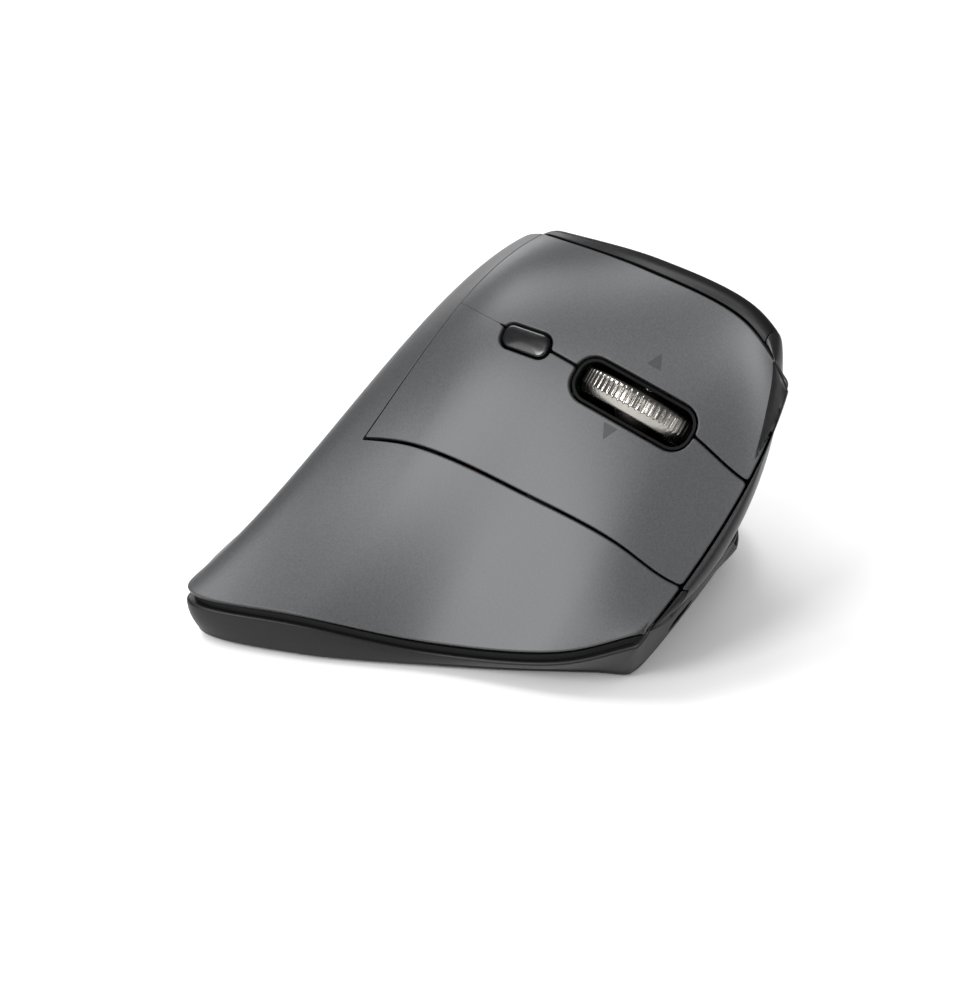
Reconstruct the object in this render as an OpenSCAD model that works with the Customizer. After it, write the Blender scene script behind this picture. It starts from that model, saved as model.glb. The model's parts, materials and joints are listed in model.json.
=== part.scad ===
// Vertical computer mouse for the right hand.
// Own frame: +Y points to the nose, +X to the little finger, +Z up; the desk is z = 0.

/* [Shells] */
// Wall thickness of the hand shell and the two main keys
skin = 1.8; // [1.4:0.1:2.2]
// Thickness of the hand shell at its lower lip
lip_skin = 1.0; // [0.8:0.1:1.4]
// Open gap around each main key
key_gap = 0.45; // [0.35:0.05:0.6]
// Wall thickness of the thumb side and the nose
side_wall = 1.8; // [1.4:0.1:2.0]
// Width of the black trim along the ridge
trim_w = 1.0; // [0.6:0.1:1.4]
// Radius of the roll from the trim down to the thumb side
roll_r = 3.0; // [2.4:0.1:3.4]
// Height of the rim band under the lip
band_h = 1.2; // [1:0.1:1.6]
// Thickness of the floor of the base
floor_t = 1.8; // [1.5:0.1:2.4]

/* [Wheel] */
// Outside diameter of the scroll wheel
wheel_d = 24; // [22:0.5:24.5]
// Width of the metal rim
wheel_w = 5; // [4:0.5:5.5]
// Number of ribs round the tread
wheel_ribs = 60; // [36:4:72]
// Height of the wheel above the keys
wheel_up = 4.5; // [3:0.5:5]
// Length of the wheel slot
slot_l = 25.8; // [24.5:0.1:27]
// Width of the wheel slot
slot_w = 9.5; // [8.5:0.1:10.5]

/* [Buttons] */
// Length of the pointer-speed button
dpi_l = 10.2; // [9:0.1:11]
// Width of the pointer-speed button
dpi_w = 5.3; // [4.5:0.1:6]
// How far the thumb buttons stand proud
thumb_proud = 0.7; // [0.4:0.1:1.2]

/* [Hidden] */

// Stations of the hand surface from the nose to the rear tip
// Ridge line over the top of the hand side
ridge = [[-6.5, 53.5, 54.5], [-9.5, 40, 62], [-8.5, 19, 65], [-8.5, -0.5, 64.5], [-12, -11, 61],
    [-15, -18.5, 54.5], [-18, -29.5, 42], [-21.5, -39.5, 26], [-24, -46, 12]];
// Lower lip beside the little finger
lip = [[27, 48, 14.5], [37, 34.5, 9.5], [47, 12, 7], [59, -9, 10], [67, -28.5, 10.5],
    [57, -34, 10], [33, -39, 10.5], [9, -46, 11.5], [-15, -49.5, 12.5]];
// Slope at the ridge, slope at the lip, fullness near the ridge, fullness near the lip
swell = [[75, 52, 0.45, 0], [50, 49, 0.41, 0.29], [29, 42, 0.38, 0.44], [10, 30, 0.35, 0.49],
    [5, 24, 0.26, 0.39], [16, 23, 0.32, 0.31], [33, 20, 0.38, 0.35], [53, 20, 0.4, 0.39],
    [62, 25, 0.39, 0.42]];
// Outer edge of the thumb ledge
ledge = [[-8, 41, 10], [-20, 35, 9.5], [-29, 25, 9], [-33, 10, 8.5], [-34.5, -8, 8.5],
    [-34, -22, 8.5], [-33, -33, 8.5], [-31, -40, 8.5], [-28, -45, 8.5]];
// How much the foot of the base is drawn in under the lip
tuck = [0.13, 0.13, 0.01, -0.01, 0.02, 0.04, 0.05, 0.05, 0.05];
key_rear = 0.448;
// Travel of the front edge of a main key
key_travel = 1;
// The slit between the keys is open from the nose to here and a hairline behind
slit_end = 0.33;
mid_seam = 0.28;
low_seam = 0.631;
side_front = 0.07;
// Corner of the parting line between the front panel and the chin of the base
chin_u = 0.1;
chin_high = 0.64;
chin_low = 0.78;
base_mid = [10, 0, 0];
side_gap = 0.25;

function mix(a, b, t) = a + (b - a) * t;
function ease(a, b, x) = let (t = max(0, min(1, (x - a) / (b - a)))) t * t * (3 - 2 * t);
function unit(a) = a / norm(a);
function level(a) = unit([a.x, a.y, 0]);
function bez(a, b, c, d, t) = a * pow(1 - t, 3) + b * 3 * t * pow(1 - t, 2)
    + c * 3 * t * t * (1 - t) + d * pow(t, 3);
function along(p, s) = let (
        n = len(p) - 1,
        i = max(0, min(n - 1, floor(s * n))),
        f = s * n - i,
        b = p[i],
        c = p[i + 1],
        a = i > 0 ? p[i - 1] : 2 * b - c,
        d = i + 2 <= n ? p[i + 2] : 2 * c - b
    ) (2 * b + (c - a) * f + (2 * a - 5 * b + 4 * c - d) * f * f
        + (3 * b - a - 3 * c + d) * f * f * f) / 2;

// Hand side: s runs from the nose to the rear tip, v from the ridge to the lip
function hand(s, v) = let (
        r = along(ridge, s),
        l = along(lip, s),
        q = along(swell, s),
        h = level(l - r),
        w = norm(l - r),
        upper = r + w * q[2] * (h * cos(q[0]) - [0, 0, sin(q[0])]),
        lower = l - w * q[3] * (h * cos(q[1]) - [0, 0, sin(q[1])])
    ) bez(r, upper, lower, l, v);

// Thumb side: s as above, w from the trim at the ridge to the edge of the ledge
roll_end = 0.25;
function thumb(s, w) = let (
        r = along(ridge, s),
        q = along(swell, s),
        h = level(along(lip, s) - r),
        t = h * cos(q[0]) - [0, 0, sin(q[0])],
        n = h * sin(q[0]) + [0, 0, cos(q[0])],
        k = ease(0.42, 0.52, s),
        slim = mix(0.65, 1, ease(0.05, 0.3, s)),
        flat = trim_w * (1 - k) * slim,
        rr = mix(roll_r * slim, roll_r / 2, k),
        start = r - key_gap * t - 1.2 * k * n,
        turn = 82 + q[0],
        run = min(1, w / roll_end) * (flat + rr * turn * PI / 180),
        phi = (run - flat) / rr * 180 / PI,
        mid = start - flat * t - rr * n,
        rolled = run < flat ? start - run * t : mid + rr * (n * cos(phi) - t * sin(phi)),
        down = -n * sin(turn) - t * cos(turn),
        out = along(ledge, s),
        hgt = norm(rolled - out)
    ) w <= roll_end ? rolled
        : bez(rolled, rolled + 0.5 * hgt * down, out + 0.3 * hgt * [1, -0.1, 0.12], out,
            (w - roll_end) / (1 - roll_end));

// Nose: u from the front edge of the keys round to the thumb side, w from top to bottom
function nose(u, w) = let (
        a = hand(0, w),
        fa = unit(a - hand(0.01, w)),
        b = thumb(side_front, w),
        fb = unit(b - thumb(side_front + 0.01, w)),
        full_a = mix(mix(0.2, 5.5, ease(0, 0.6, w)), 2, ease(0.6, 1, w)),
        full_b = mix(mix(2.7, 5.5, ease(0, 0.6, w)), 2, ease(0.6, 1, w)),
        p = a + key_gap * fa,
        q = b + side_gap * fb
    ) bez(p, p + full_a * fa, q + full_b * fb, q, u);

function on(id, a, b) = id == 0 ? hand(a, b) : id == 1 ? thumb(a, b) : nose(a, b);
function face_out(id, a, b) = let (
        e = 0.004,
        a0 = max(0, a - e), a1 = min(1, a + e), b0 = max(0, b - e), b1 = min(1, b + e),
        c = cross(on(id, a1, b) - on(id, a0, b), on(id, a, b1) - on(id, a, b0))
    ) unit(id == 0 ? c : -c);
// Wall thickness: thinner towards the lip, at the front corner of the keys by the ridge, and on
// the nose towards its top and both side edges
edge_t = 0.5;
function wall_at(id, a, b, t) = let (c = t > lip_skin ? mix(t, lip_skin, ease(0.8, 1, b)) : t)
    id == 0 ? c - (skin - edge_t) * (1 - max(ease(0, 0.1, a), ease(0.25, 0.45, b)))
    : id == 1 ? c
    : mix(edge_t, c, ease(0, 0.3, a) * (1 - ease(0.75, 1, a)) * ease(0, 0.2, b));

// Even steps from a to b
function steps(a, b, n) = [for (i = [0:n]) mix(a, b, i / n)];

// Closed plate following a surface between two depths. lit[i][j] tells which cells are present,
// and bb holds one row for all stations or a row of its own for each station.
module plate(id, aa, bb, lit, top, bottom) {
    own = is_list(bb[0]);
    na = len(aa);
    nb = own ? len(bb[0]) : len(bb);
    flip = id == 0;
    pts = [for (d = [0, 1]) for (i = [0:na - 1]) for (b = own ? bb[i] : bb)
        on(id, aa[i], b) - face_out(id, aa[i], b) * (d == 0 ? top : wall_at(id, aa[i], b, bottom))];
    function at(d, i, j) = d * na * nb + i * nb + j;
    function has(i, j) = i >= 0 && j >= 0 && i < na - 1 && j < nb - 1 && lit[i][j];
    function turn(f) = flip ? f : [f[2], f[1], f[0]];
    faces = [for (i = [0:na - 2]) for (j = [0:nb - 2]) if (has(i, j)) each concat(
        [turn([at(0, i, j), at(0, i, j + 1), at(0, i + 1, j + 1)]),
         turn([at(0, i, j), at(0, i + 1, j + 1), at(0, i + 1, j)]),
         turn([at(1, i, j), at(1, i + 1, j + 1), at(1, i, j + 1)]),
         turn([at(1, i, j), at(1, i + 1, j), at(1, i + 1, j + 1)])],
        has(i - 1, j) ? [] : [turn([at(0, i, j), at(1, i, j + 1), at(0, i, j + 1)]),
            turn([at(0, i, j), at(1, i, j), at(1, i, j + 1)])],
        has(i + 1, j) ? [] : [turn([at(0, i + 1, j), at(0, i + 1, j + 1), at(1, i + 1, j + 1)]),
            turn([at(0, i + 1, j), at(1, i + 1, j + 1), at(1, i + 1, j)])],
        has(i, j - 1) ? [] : [turn([at(0, i, j), at(0, i + 1, j), at(1, i + 1, j)]),
            turn([at(0, i, j), at(1, i + 1, j), at(1, i, j)])],
        has(i, j + 1) ? [] : [turn([at(0, i, j + 1), at(1, i + 1, j + 1), at(0, i + 1, j + 1)]),
            turn([at(0, i, j + 1), at(1, i, j + 1), at(1, i + 1, j + 1)])])];
    polyhedron(pts, faces);
}
function all_lit(aa, n) = [for (a = aa) [for (j = [0:n]) true]];

// The stations are drawn from the wheel side; this puts the origin under the middle of the body
middle = [16.25, 2.25, 0];
module placed() {
    translate(-middle) children();
}

// Inclined deck below the keys: +X across the wheel, +Y forward, +Z out of the surface
deck_at = [7.8, 29.2, 47.4];
deck_tilt = [-25, 47, -7];
deck_x = [0.677, -0.083, -0.731];
deck_y = [-0.196, 0.937, -0.288];
deck_z = [0.709, 0.339, 0.618];
module deck() {
    translate(deck_at) rotate(deck_tilt) children();
}
function to_deck(p) = [(p - deck_at) * deck_x, (p - deck_at) * deck_y, (p - deck_at) * deck_z];

// Levels on the deck, measured from the middle of the wheel slot
axle_z = wheel_up - wheel_d / 2;
board_top = -11.8;
board_t = 1.6;
plate_top = -15;
plate_t = 1.6;
hinge_y = -32;
hinge_z = -13;
hinge_d = 2;
run_fit = 0.05;
guide_y = 15;
guide_r = 1.5;
switch_y = 4;
left_switch_x = -9.5;
right_switch_x = 14;
click_y = -20.2;
dpi_at = [-0.5, -23.9, -2.1];
dpi_tilt = 11.4;
dpi_switch_y = -25.5;

// Solid through a list of rings with the same number of points; loop joins the last to the first
module rings(rr, loop = false) {
    m = len(rr);
    n = len(rr[0]);
    sides = [for (k = [0:(loop ? m - 1 : m - 2)]) for (i = [0:n - 1]) each [
        [k * n + i, (k + 1) % m * n + (i + 1) % n, k * n + (i + 1) % n],
        [k * n + i, (k + 1) % m * n + i, (k + 1) % m * n + (i + 1) % n]]];
    caps = loop ? [] : [[for (i = [0:n - 1]) i], [for (i = [0:n - 1]) m * n - 1 - i]];
    polyhedron([for (r = rr) each r], concat(sides, caps));
}

// Wire or tube of radius r along a path
module tube(path, r, sides = 6) {
    n = len(path);
    rings([for (k = [0:n - 1]) let (
        d = unit(path[min(n - 1, k + 1)] - path[max(0, k - 1)]),
        a = unit(cross(d, [0, 0, 1])),
        b = cross(d, a)
    ) [for (i = [0:sides - 1]) path[k] + r * (a * cos(360 * i / sides) + b * sin(360 * i / sides))]]);
}

// Boss from inside a shell to a flat end square to the axis e3 and level with the point stop
boss_sides = 12;
function boss_end(id, a, b, e3, stop) = on(id, a, b) + e3 * ((stop - on(id, a, b)) * e3);
module boss(id, a, b, e1, e2, stop, r, depth) {
    e = 0.01;
    ta = (on(id, a + e, b) - on(id, a - e, b)) / (2 * e);
    tb = (on(id, a, b + e) - on(id, a, b - e)) / (2 * e);
    det = (ta * e1) * (tb * e2) - (tb * e1) * (ta * e2);
    c = boss_end(id, a, b, cross(e1, e2), stop);
    rim_a = [for (i = [0:boss_sides - 1]) let (
        p = r * cos(360 * i / boss_sides),
        q = r * sin(360 * i / boss_sides),
        da = (p * (tb * e2) - q * (tb * e1)) / det,
        db = (q * (ta * e1) - p * (ta * e2)) / det
    ) on(id, a + da, b + db) - face_out(id, a + da, b + db) * depth];
    rim_b = [for (i = [0:boss_sides - 1])
        c + r * (e1 * cos(360 * i / boss_sides) + e2 * sin(360 * i / boss_sides))];
    below = (c - on(id, a, b)) * cross(e1, e2) < 0;
    rings(below ? [rim_b, rim_a] : [rim_a, rim_b]);
}

// Flat bar and rounded slot shapes
module bar(x0, x1, y0, y1, z0, z1) {
    translate([x0, y0, z0]) cube([x1 - x0, y1 - y0, z1 - z0]);
}
module pill(l, w, z0, z1, r = 0) {
    c = r > 0 ? r : 0.42 * w;
    bar(-w / 2, w / 2, c - l / 2, l / 2 - c, z0, z1);
    bar(c - w / 2, w / 2 - c, -l / 2, l / 2, z0, z1);
    for (x = [-1, 1]) for (y = [-1, 1]) disc(x * (w / 2 - c), y * (l / 2 - c), c, z0, z1);
}
module disc(x, y, r, z0, z1) {
    translate([x, y, z0]) cylinder(r = r, h = z1 - z0, $fn = 40);
}

half_v = key_gap / 130;
half_s = key_gap / 230;
case_screw_z = 5;
pilot_r = 1.05;
pilot_h = 2.4;
screw_r = 1;
top_bosses = [[0.52, 0.8], [0.24, 0.86]];
side_bosses = [[0.28, 0.86], [0.66, 0.82]];
deck_bosses = [[0.43, 0.44], [0.3, 0.47], [0.14, 0.72]];
strip_bosses = [[0.13, 0.35], [0.47, 0.33]];
strip_x = -8.2;
// Thumb switches: height of the body and of the rested plunger above the strip board
strip_h = 2.5;
strip_tip = 3.2;

module top_shell() {
    aa = concat(steps(0, key_rear - half_s, 9), steps(key_rear + half_s, 1, 12));
    bb = concat(steps(0, mid_seam, 4), steps(mid_seam + 0.06, low_seam + half_v, 5),
        steps(low_seam + 0.06, 1, 6));
    lit = [for (i = [0:len(aa) - 1]) [for (j = [0:len(bb) - 1]) i >= 10 || j >= 10]];
    color("dimgray") difference() {
        union() {
            plate(0, aa, bb, lit, 0, skin);
            for (q = top_bosses)
                boss(0, q[0], q[1], [1, 0, 0], [0, 1, 0], [0, 0, case_screw_z], 3, 0.9);
        }
        for (q = top_bosses) let (p = hand(q[0], q[1]))
            translate([p.x, p.y, case_screw_z - 0.1]) cylinder(r = pilot_r, h = pilot_h, $fn = 24);
    }
}
module slot_cut() {
    deck() pill(slot_l, slot_w, -8, 6);
    deck() translate(dpi_at) rotate([dpi_tilt, 0, 0])
        pill(dpi_l + 2 * key_gap, dpi_w + 2 * key_gap, -5, 5);
}
// Hinge lug and its bore on the underside of a key
module lug(x0, top) {
    bar(x0, x0 + 3, hinge_y - 2, hinge_y + 2, hinge_z - 1.9, top);
}
module key(v0, v1, side, lugs, post) {
    aa = concat(steps(0, slit_end, 9), steps(slit_end + 0.02, key_rear - half_s, 3));
    bb = [for (a = aa) let (h = a > slit_end ? half_v * 0.15 : half_v)
        steps(v0 + (side > 0 ? h : 0), v1 - (side > 0 ? half_v : h), 6)];
    difference() {
        union() {
            plate(0, aa, bb, all_lit(aa, 6), 0, skin);
            deck() for (q = lugs) lug(q[0], q[1]);
            deck() disc(post[0], switch_y, 1.5, board_top + 7.25, post[1]);
        }
        slot_cut();
        deck() translate([-40, hinge_y, hinge_z]) rotate([0, 90, 0])
            cylinder(r = hinge_d / 2 + run_fit, h = 80, $fn = 48);
    }
}
module left_button() {
    color("dimgray") key(0, mid_seam, -1, [[-10.5, -7.2], [-4.8, -5.5]], [left_switch_x, -1.1]);
}
module right_button() {
    color("gray") key(mid_seam, low_seam, 1, [[3, -4.8], [21, -4.6]], [right_switch_x, -1.3]);
}
thumb_row = [0.285, 0.36];
thumb_cols = [0.15, 0.435];
thumb_split = 0.2925;
module thumb_shell() {
    aa = concat(steps(side_front, thumb_cols[0], 2), steps(0.19, 0.4, 5), steps(thumb_cols[1], 1, 12));
    bb = concat(steps(0, roll_end, 5), [thumb_row[0], thumb_row[1]], steps(0.43, 1, 8));
    lit = [for (i = [0:len(aa) - 1]) [for (j = [0:len(bb) - 1]) !(i >= 2 && i < 9 && j == 6)]];
    color("#222") difference() {
        union() {
            plate(1, aa, bb, lit, 0, side_wall);
            for (q = side_bosses)
                boss(1, q[0], q[1], [1, 0, 0], [0, 1, 0], [0, 0, case_screw_z], 3, 0.9);
            for (q = deck_bosses)
                boss(1, q[0], q[1], deck_x, deck_y, deck_at + deck_z * (plate_top - plate_t), 2.4, 0.9);
            for (q = strip_bosses)
                boss(1, q[0], q[1], [0, 1, 0], [0, 0, 1], [strip_x, 0, 0], 1.8, 0.9);
        }
        for (q = side_bosses) let (p = thumb(q[0], q[1]))
            translate([p.x, p.y, case_screw_z - 0.1]) cylinder(r = pilot_r, h = pilot_h, $fn = 24);
        for (q = deck_bosses) let (p = to_deck(thumb(q[0], q[1])))
            deck() disc(p.x, p.y, pilot_r, plate_top - plate_t - 2.6, 0);
        for (q = strip_bosses) let (p = thumb(q[0], q[1]))
            translate([strip_x - 3, p.y, p.z]) rotate([0, 90, 0]) cylinder(r = 0.8, h = 4, $fn = 24);
    }
}
// Space kept free round the front edge of the hand shell and under the keys for their travel
module front_room(v0, v1, below) {
    ka = [-0.003, 0.015, 0.03, 0.05, 0.07, 0.09];
    kb = steps(v0, v1, 16);
    plate(0, ka, kb, all_lit(ka, len(kb)), -0.4, skin + below);
}
module front_panel() {
    aa = concat([0, chin_u], steps(0.2, 1, 8));
    bb = concat(steps(0, chin_high, 8), steps(chin_high + 0.05, chin_low, 2));
    lit = [for (i = [0:len(aa) - 1]) [for (j = [0:len(bb) - 1]) i > 0 || j < 8]];
    color("#333") difference() {
        plate(2, aa, bb, lit, 0, side_wall);
        front_room(-0.003, low_seam + half_v, key_travel + 0.3);
    }
}
// Foot of the nose: the base rises in front as far as the seam under the lower key
module chin() {
    g = 0.004;
    aa = concat([0.012, chin_u - g], steps(0.2, 0.98, 8));
    bb = concat([chin_high + g, 0.7], steps(chin_low + g, 1, 4));
    lit = [for (i = [0:len(aa) - 1]) [for (j = [0:len(bb) - 1]) i < 1 || j > 1]];
    difference() {
        plate(2, aa, bb, lit, 0, 2);
        front_room(low_seam, 0.99, 0.5);
    }
}
// Thumb button: raised face, hidden flange and the pad that meets the switch
module thumb_key(s0, s1) {
    wide = 0.011;
    row = [thumb_row[0] + 0.004, thumb_row[1] - 0.004];
    mid = on(1, (s0 + s1) / 2, (thumb_row[0] + thumb_row[1]) / 2);
    aa = steps(s0, s1, 5);
    bb = steps(row[0], row[1], 3);
    fa = steps(s0, s1, 5);
    fb = steps(row[0] - wide, row[1] + wide, 3);
    union() {
        plate(1, aa, bb, all_lit(aa, len(bb)), -thumb_proud, side_wall + 0.5);
        plate(1, fa, fb, all_lit(fa, len(fb)), side_wall + 0.15, side_wall + 1);
        translate([mid.x + side_wall + 0.6, mid.y, mid.z]) rotate([0, 90, 0])
            cylinder(r = 2, h = strip_x - strip_tip - mid.x - side_wall - 0.6, $fn = 32);
    }
}
function thumb_mid(s0, s1) = on(1, (s0 + s1) / 2, (thumb_row[0] + thumb_row[1]) / 2);
fwd = [thumb_cols[0] + 0.004, thumb_split - 0.002];
rev = [thumb_split + 0.002, thumb_cols[1] - 0.004];
module forward_button() {
    color("black") thumb_key(fwd[0], fwd[1]);
}
module back_button() {
    color("black") thumb_key(rev[0], rev[1]);
}

// Closed line round the lip, the rear tip, the thumb ledge and the foot of the nose
lip_n = 28;
side_n = 20;
nose_n = 8;
loop_n = lip_n + side_n + nose_n + 3;
rim_pts = concat([for (i = [0:lip_n]) along(lip, i / lip_n)], [hand(1, 0.5), hand(1, 0)],
    [for (i = [0:side_n]) thumb(mix(1, side_front, i / side_n), 1)],
    [for (i = [1:nose_n - 1]) nose(1 - i / nose_n, 1)]);
foot_tuck = concat([for (i = [0:lip_n]) along(tuck, i / lip_n)], [0.05, 0.05],
    [for (i = [0:side_n]) mix(0.05, 0.08, ease(0.6, 1, i / side_n))],
    [for (i = [1:nose_n - 1]) mix(0.08, 0.11, i / nose_n)]);
function at_nose(i) = i > lip_n + side_n + 4 && i < loop_n - 2 ? 1 : 0;
// The band keeps further inside round the narrow rear tip
function tip_in(i) = 0.035 * max(0, 1 - abs(i - lip_n - 1.5) / 4);
function pull(p, k, z) = [mix(p.x, base_mid.x, k), mix(p.y, base_mid.y, k), z];
// Point i of the line drawn in by k and lowered by dz under the lip, or by up at the nose
function rim_at(i, k, dz, up) = pull(rim_pts[i], k, rim_pts[i].z + (at_nose(i) > 0 ? up : dz));
function rim_line(k, dz, up) = [for (i = [0:loop_n - 2]) rim_at(i, k, dz, up)];
foot_z = 0.9;
band_top = -lip_skin - 0.2;
base_top = band_top - band_h - 0.1;
function level_ring(extra, z) = [for (i = [0:loop_n - 2]) pull(rim_pts[i], foot_tuck[i] + extra, z)];
function between(a, b, t, extra) = [for (i = [0:len(a) - 1]) let (p = mix(a[i], b[i], t))
    pull(p, extra, p.z)];
// Recessed band under the lip, from the front corner round the rear to the thumb side
module rim_band() {
    color("black") rings([for (i = [lip_n + side_n + 3:-1:0]) [for (q = [[0.018, band_top - band_h],
        [0.06, band_top - band_h], [0.06, band_top], [0.018, band_top]])
        rim_at(i, q[0] + tip_in(i), q[1], q[1])]]);
}
screw_heads = 3.2;
function base_screws() = concat([for (q = top_bosses) hand(q[0], q[1])],
    [for (q = side_bosses) thumb(q[0], q[1])]);
board_z = 5;
board_posts = [[-11, 12], [22, 24], [22, -11], [-11, -23]];
sensor = [12, 6];
power = [-8, -6];
pair = [-8, -17.5];
usb = [9.2, 37.6, 5.6];
usb_turn = 16;
module base_shell() {
    top_out = rim_line(-0.004, base_top, 1);
    top_in = rim_line(0.058, base_top, 1);
    foot_out = level_ring(0, 1.6);
    foot_in = level_ring(0.042, foot_z + floor_t);
    color("#222") difference() {
        union() {
            rings([foot_in, between(foot_in, top_in, 0.5, 0.012), top_in, top_out,
                between(foot_out, top_out, 0.5, 0.012), foot_out, level_ring(0.012, foot_z)]);
            chin();
            for (p = base_screws()) disc(p.x, p.y, screw_heads + 1.2, foot_z + 0.2, case_screw_z);
            for (p = board_posts) disc(p.x, p.y, 2.4, foot_z + 0.2, board_z);
        }
        for (p = base_screws()) {
            disc(p.x, p.y, 1.3, 0, 9);
            disc(p.x, p.y, screw_heads, 0, 3);
        }
        for (p = board_posts) disc(p.x, p.y, pilot_r, board_z - 2.6, board_z + 1);
        bar(sensor.x - 4, sensor.x + 4, sensor.y - 3.5, sensor.y + 3.5, 0, 4);
        bar(power.x - 2, power.x + 2, power.y - 4.5, power.y + 4.5, 0, 4);
        disc(pair.x, pair.y, 2.65, 0, 4);
        translate(usb) rotate([90, 0, usb_turn]) translate([0, 0, -12]) {
            bar(-2.9, 2.9, -1.8, 1.8, 0, 17);
            for (e = [-1, 1]) disc(e * 2.9, 0, 1.8, 0, 17);
        }
        for (q = feet) bar(q[0] - q[2] / 2 - 0.2, q[0] + q[2] / 2 + 0.2, q[1] - q[3] / 2 - 0.2,
            q[1] + q[3] / 2 + 0.2, 0, 1.1);
    }
}
// Glide pads: middle x and y, size along x and y
feet = [[14, 31, 22, 6], [-22, -4, 6, 24], [50, -18, 6, 18], [14, -35, 24, 5]];
module glide_feet() {
    color("white") for (q = feet)
        bar(q[0] - q[2] / 2, q[0] + q[2] / 2, q[1] - q[3] / 2, q[1] + q[3] / 2, 0, 1.1);
}

module wheel_rim() {
    depth = 0.35;
    face = wheel_w / 2 - 0.6;
    color("silver") deck() translate([0, 0, axle_z]) rotate([0, 90, 0]) difference() {
        union() {
            translate([0, 0, -face]) linear_extrude(2 * face) polygon([for (i = [0:wheel_ribs - 1])
                each [for (q = [[0, 1], [0.45, 1], [0.6, 0], [0.85, 0]])
                    let (a = 360 * (i + q[0]) / wheel_ribs, r = wheel_d / 2 - depth * (1 - q[1]))
                    [r * cos(a), r * sin(a)]]]);
            for (e = [-1, 1]) scale([1, 1, e]) translate([0, 0, face - 0.01])
                cylinder(r1 = wheel_d / 2 - depth - 0.05, r2 = wheel_d / 2 - 1.1, h = 0.6, $fn = 96);
        }
        translate([0, 0, -wheel_w]) cylinder(r = wheel_d / 2 - 2.2, h = 2 * wheel_w, $fn = 96);
    }
}
module wheel_hub() {
    color("#444") deck() translate([0, 0, axle_z]) rotate([0, 90, 0]) difference() {
        union() {
            translate([0, 0, -wheel_w / 2 + 0.5])
                cylinder(r = wheel_d / 2 - 2.2, h = wheel_w - 1, $fn = 96);
            translate([0, 0, -3.7]) cylinder(r = 3, h = 7.4, $fn = 48);
        }
        translate([0, 0, -9]) cylinder(r = 1.25, h = 18, $fn = 48);
        for (e = [-1, 1]) translate([0, 0, e * (wheel_w / 2 + 0.6)]) difference() {
            cylinder(r = wheel_d / 2 - 3.6, h = 2.4, center = true, $fn = 72);
            cylinder(r = 4.4, h = 4, center = true, $fn = 48);
        }
        for (i = [0:4]) rotate([0, 0, 72 * i]) translate([6.3, 0, -5]) cylinder(d = 2.6, h = 10, $fn = 32);
    }
}
module wheel_axle() {
    color("gray") deck() translate([-6.4, 0, axle_z]) rotate([0, 90, 0])
        cylinder(r = 1.25, h = 14, $fn = 48);
}
module encoder_rotor() {
    color("white") deck() translate([5.9, 0, axle_z]) rotate([0, 90, 0]) difference() {
        cylinder(r = 2.3, h = 2.8, $fn = 6);
        translate([0, 0, -1]) cylinder(r = 1.25, h = 6, $fn = 48);
    }
}
module encoder_body() {
    color("green") deck() difference() {
        bar(5.5, 9.2, -4.5, 4.5, axle_z - 4.3, axle_z + 3.2);
        translate([5, 0, axle_z]) rotate([0, 90, 0]) cylinder(r = 1.5, h = 8, $fn = 48);
        translate([5.8, 0, axle_z]) rotate([0, 90, 0]) cylinder(r = 2.5, h = 3, $fn = 48);
    }
}
arm_z = -7.8;
arm_t = 2;
module wheel_carrier() {
    color("#555") deck() difference() {
        union() {
            for (x = [-5.5, 4]) {
                bar(x, x + 1.5, -4, 4, axle_z - 3, axle_z + 3);
                bar(x, x + 1.5, -22, 17.2, arm_z, arm_z + arm_t);
            }
            bar(-5.5, 5.5, 12.8, 17.2, arm_z, arm_z + arm_t);
            bar(-5.5, 5.5, -22, -12.8, arm_z, arm_z + arm_t);
        }
        translate([-9, 0, axle_z]) rotate([0, 90, 0]) cylinder(r = 1.25 + run_fit, h = 18, $fn = 48);
        for (e = [-1, 1]) disc(0, e * guide_y, guide_r + run_fit, -12, 0);
    }
}
// Return springs under the wheel carrier
module wheel_springs() {
    turns = 4;
    low = board_top + 0.3;
    high = arm_z - 0.3;
    color("silver") deck() for (e = [-1, 1]) translate([0, e * guide_y, 0])
        tube([for (i = [0:12 * turns]) [2 * cos(30 * i), 2 * sin(30 * i),
            mix(low, high, i / 12 / turns)]], 0.25, 5);
}
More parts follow.
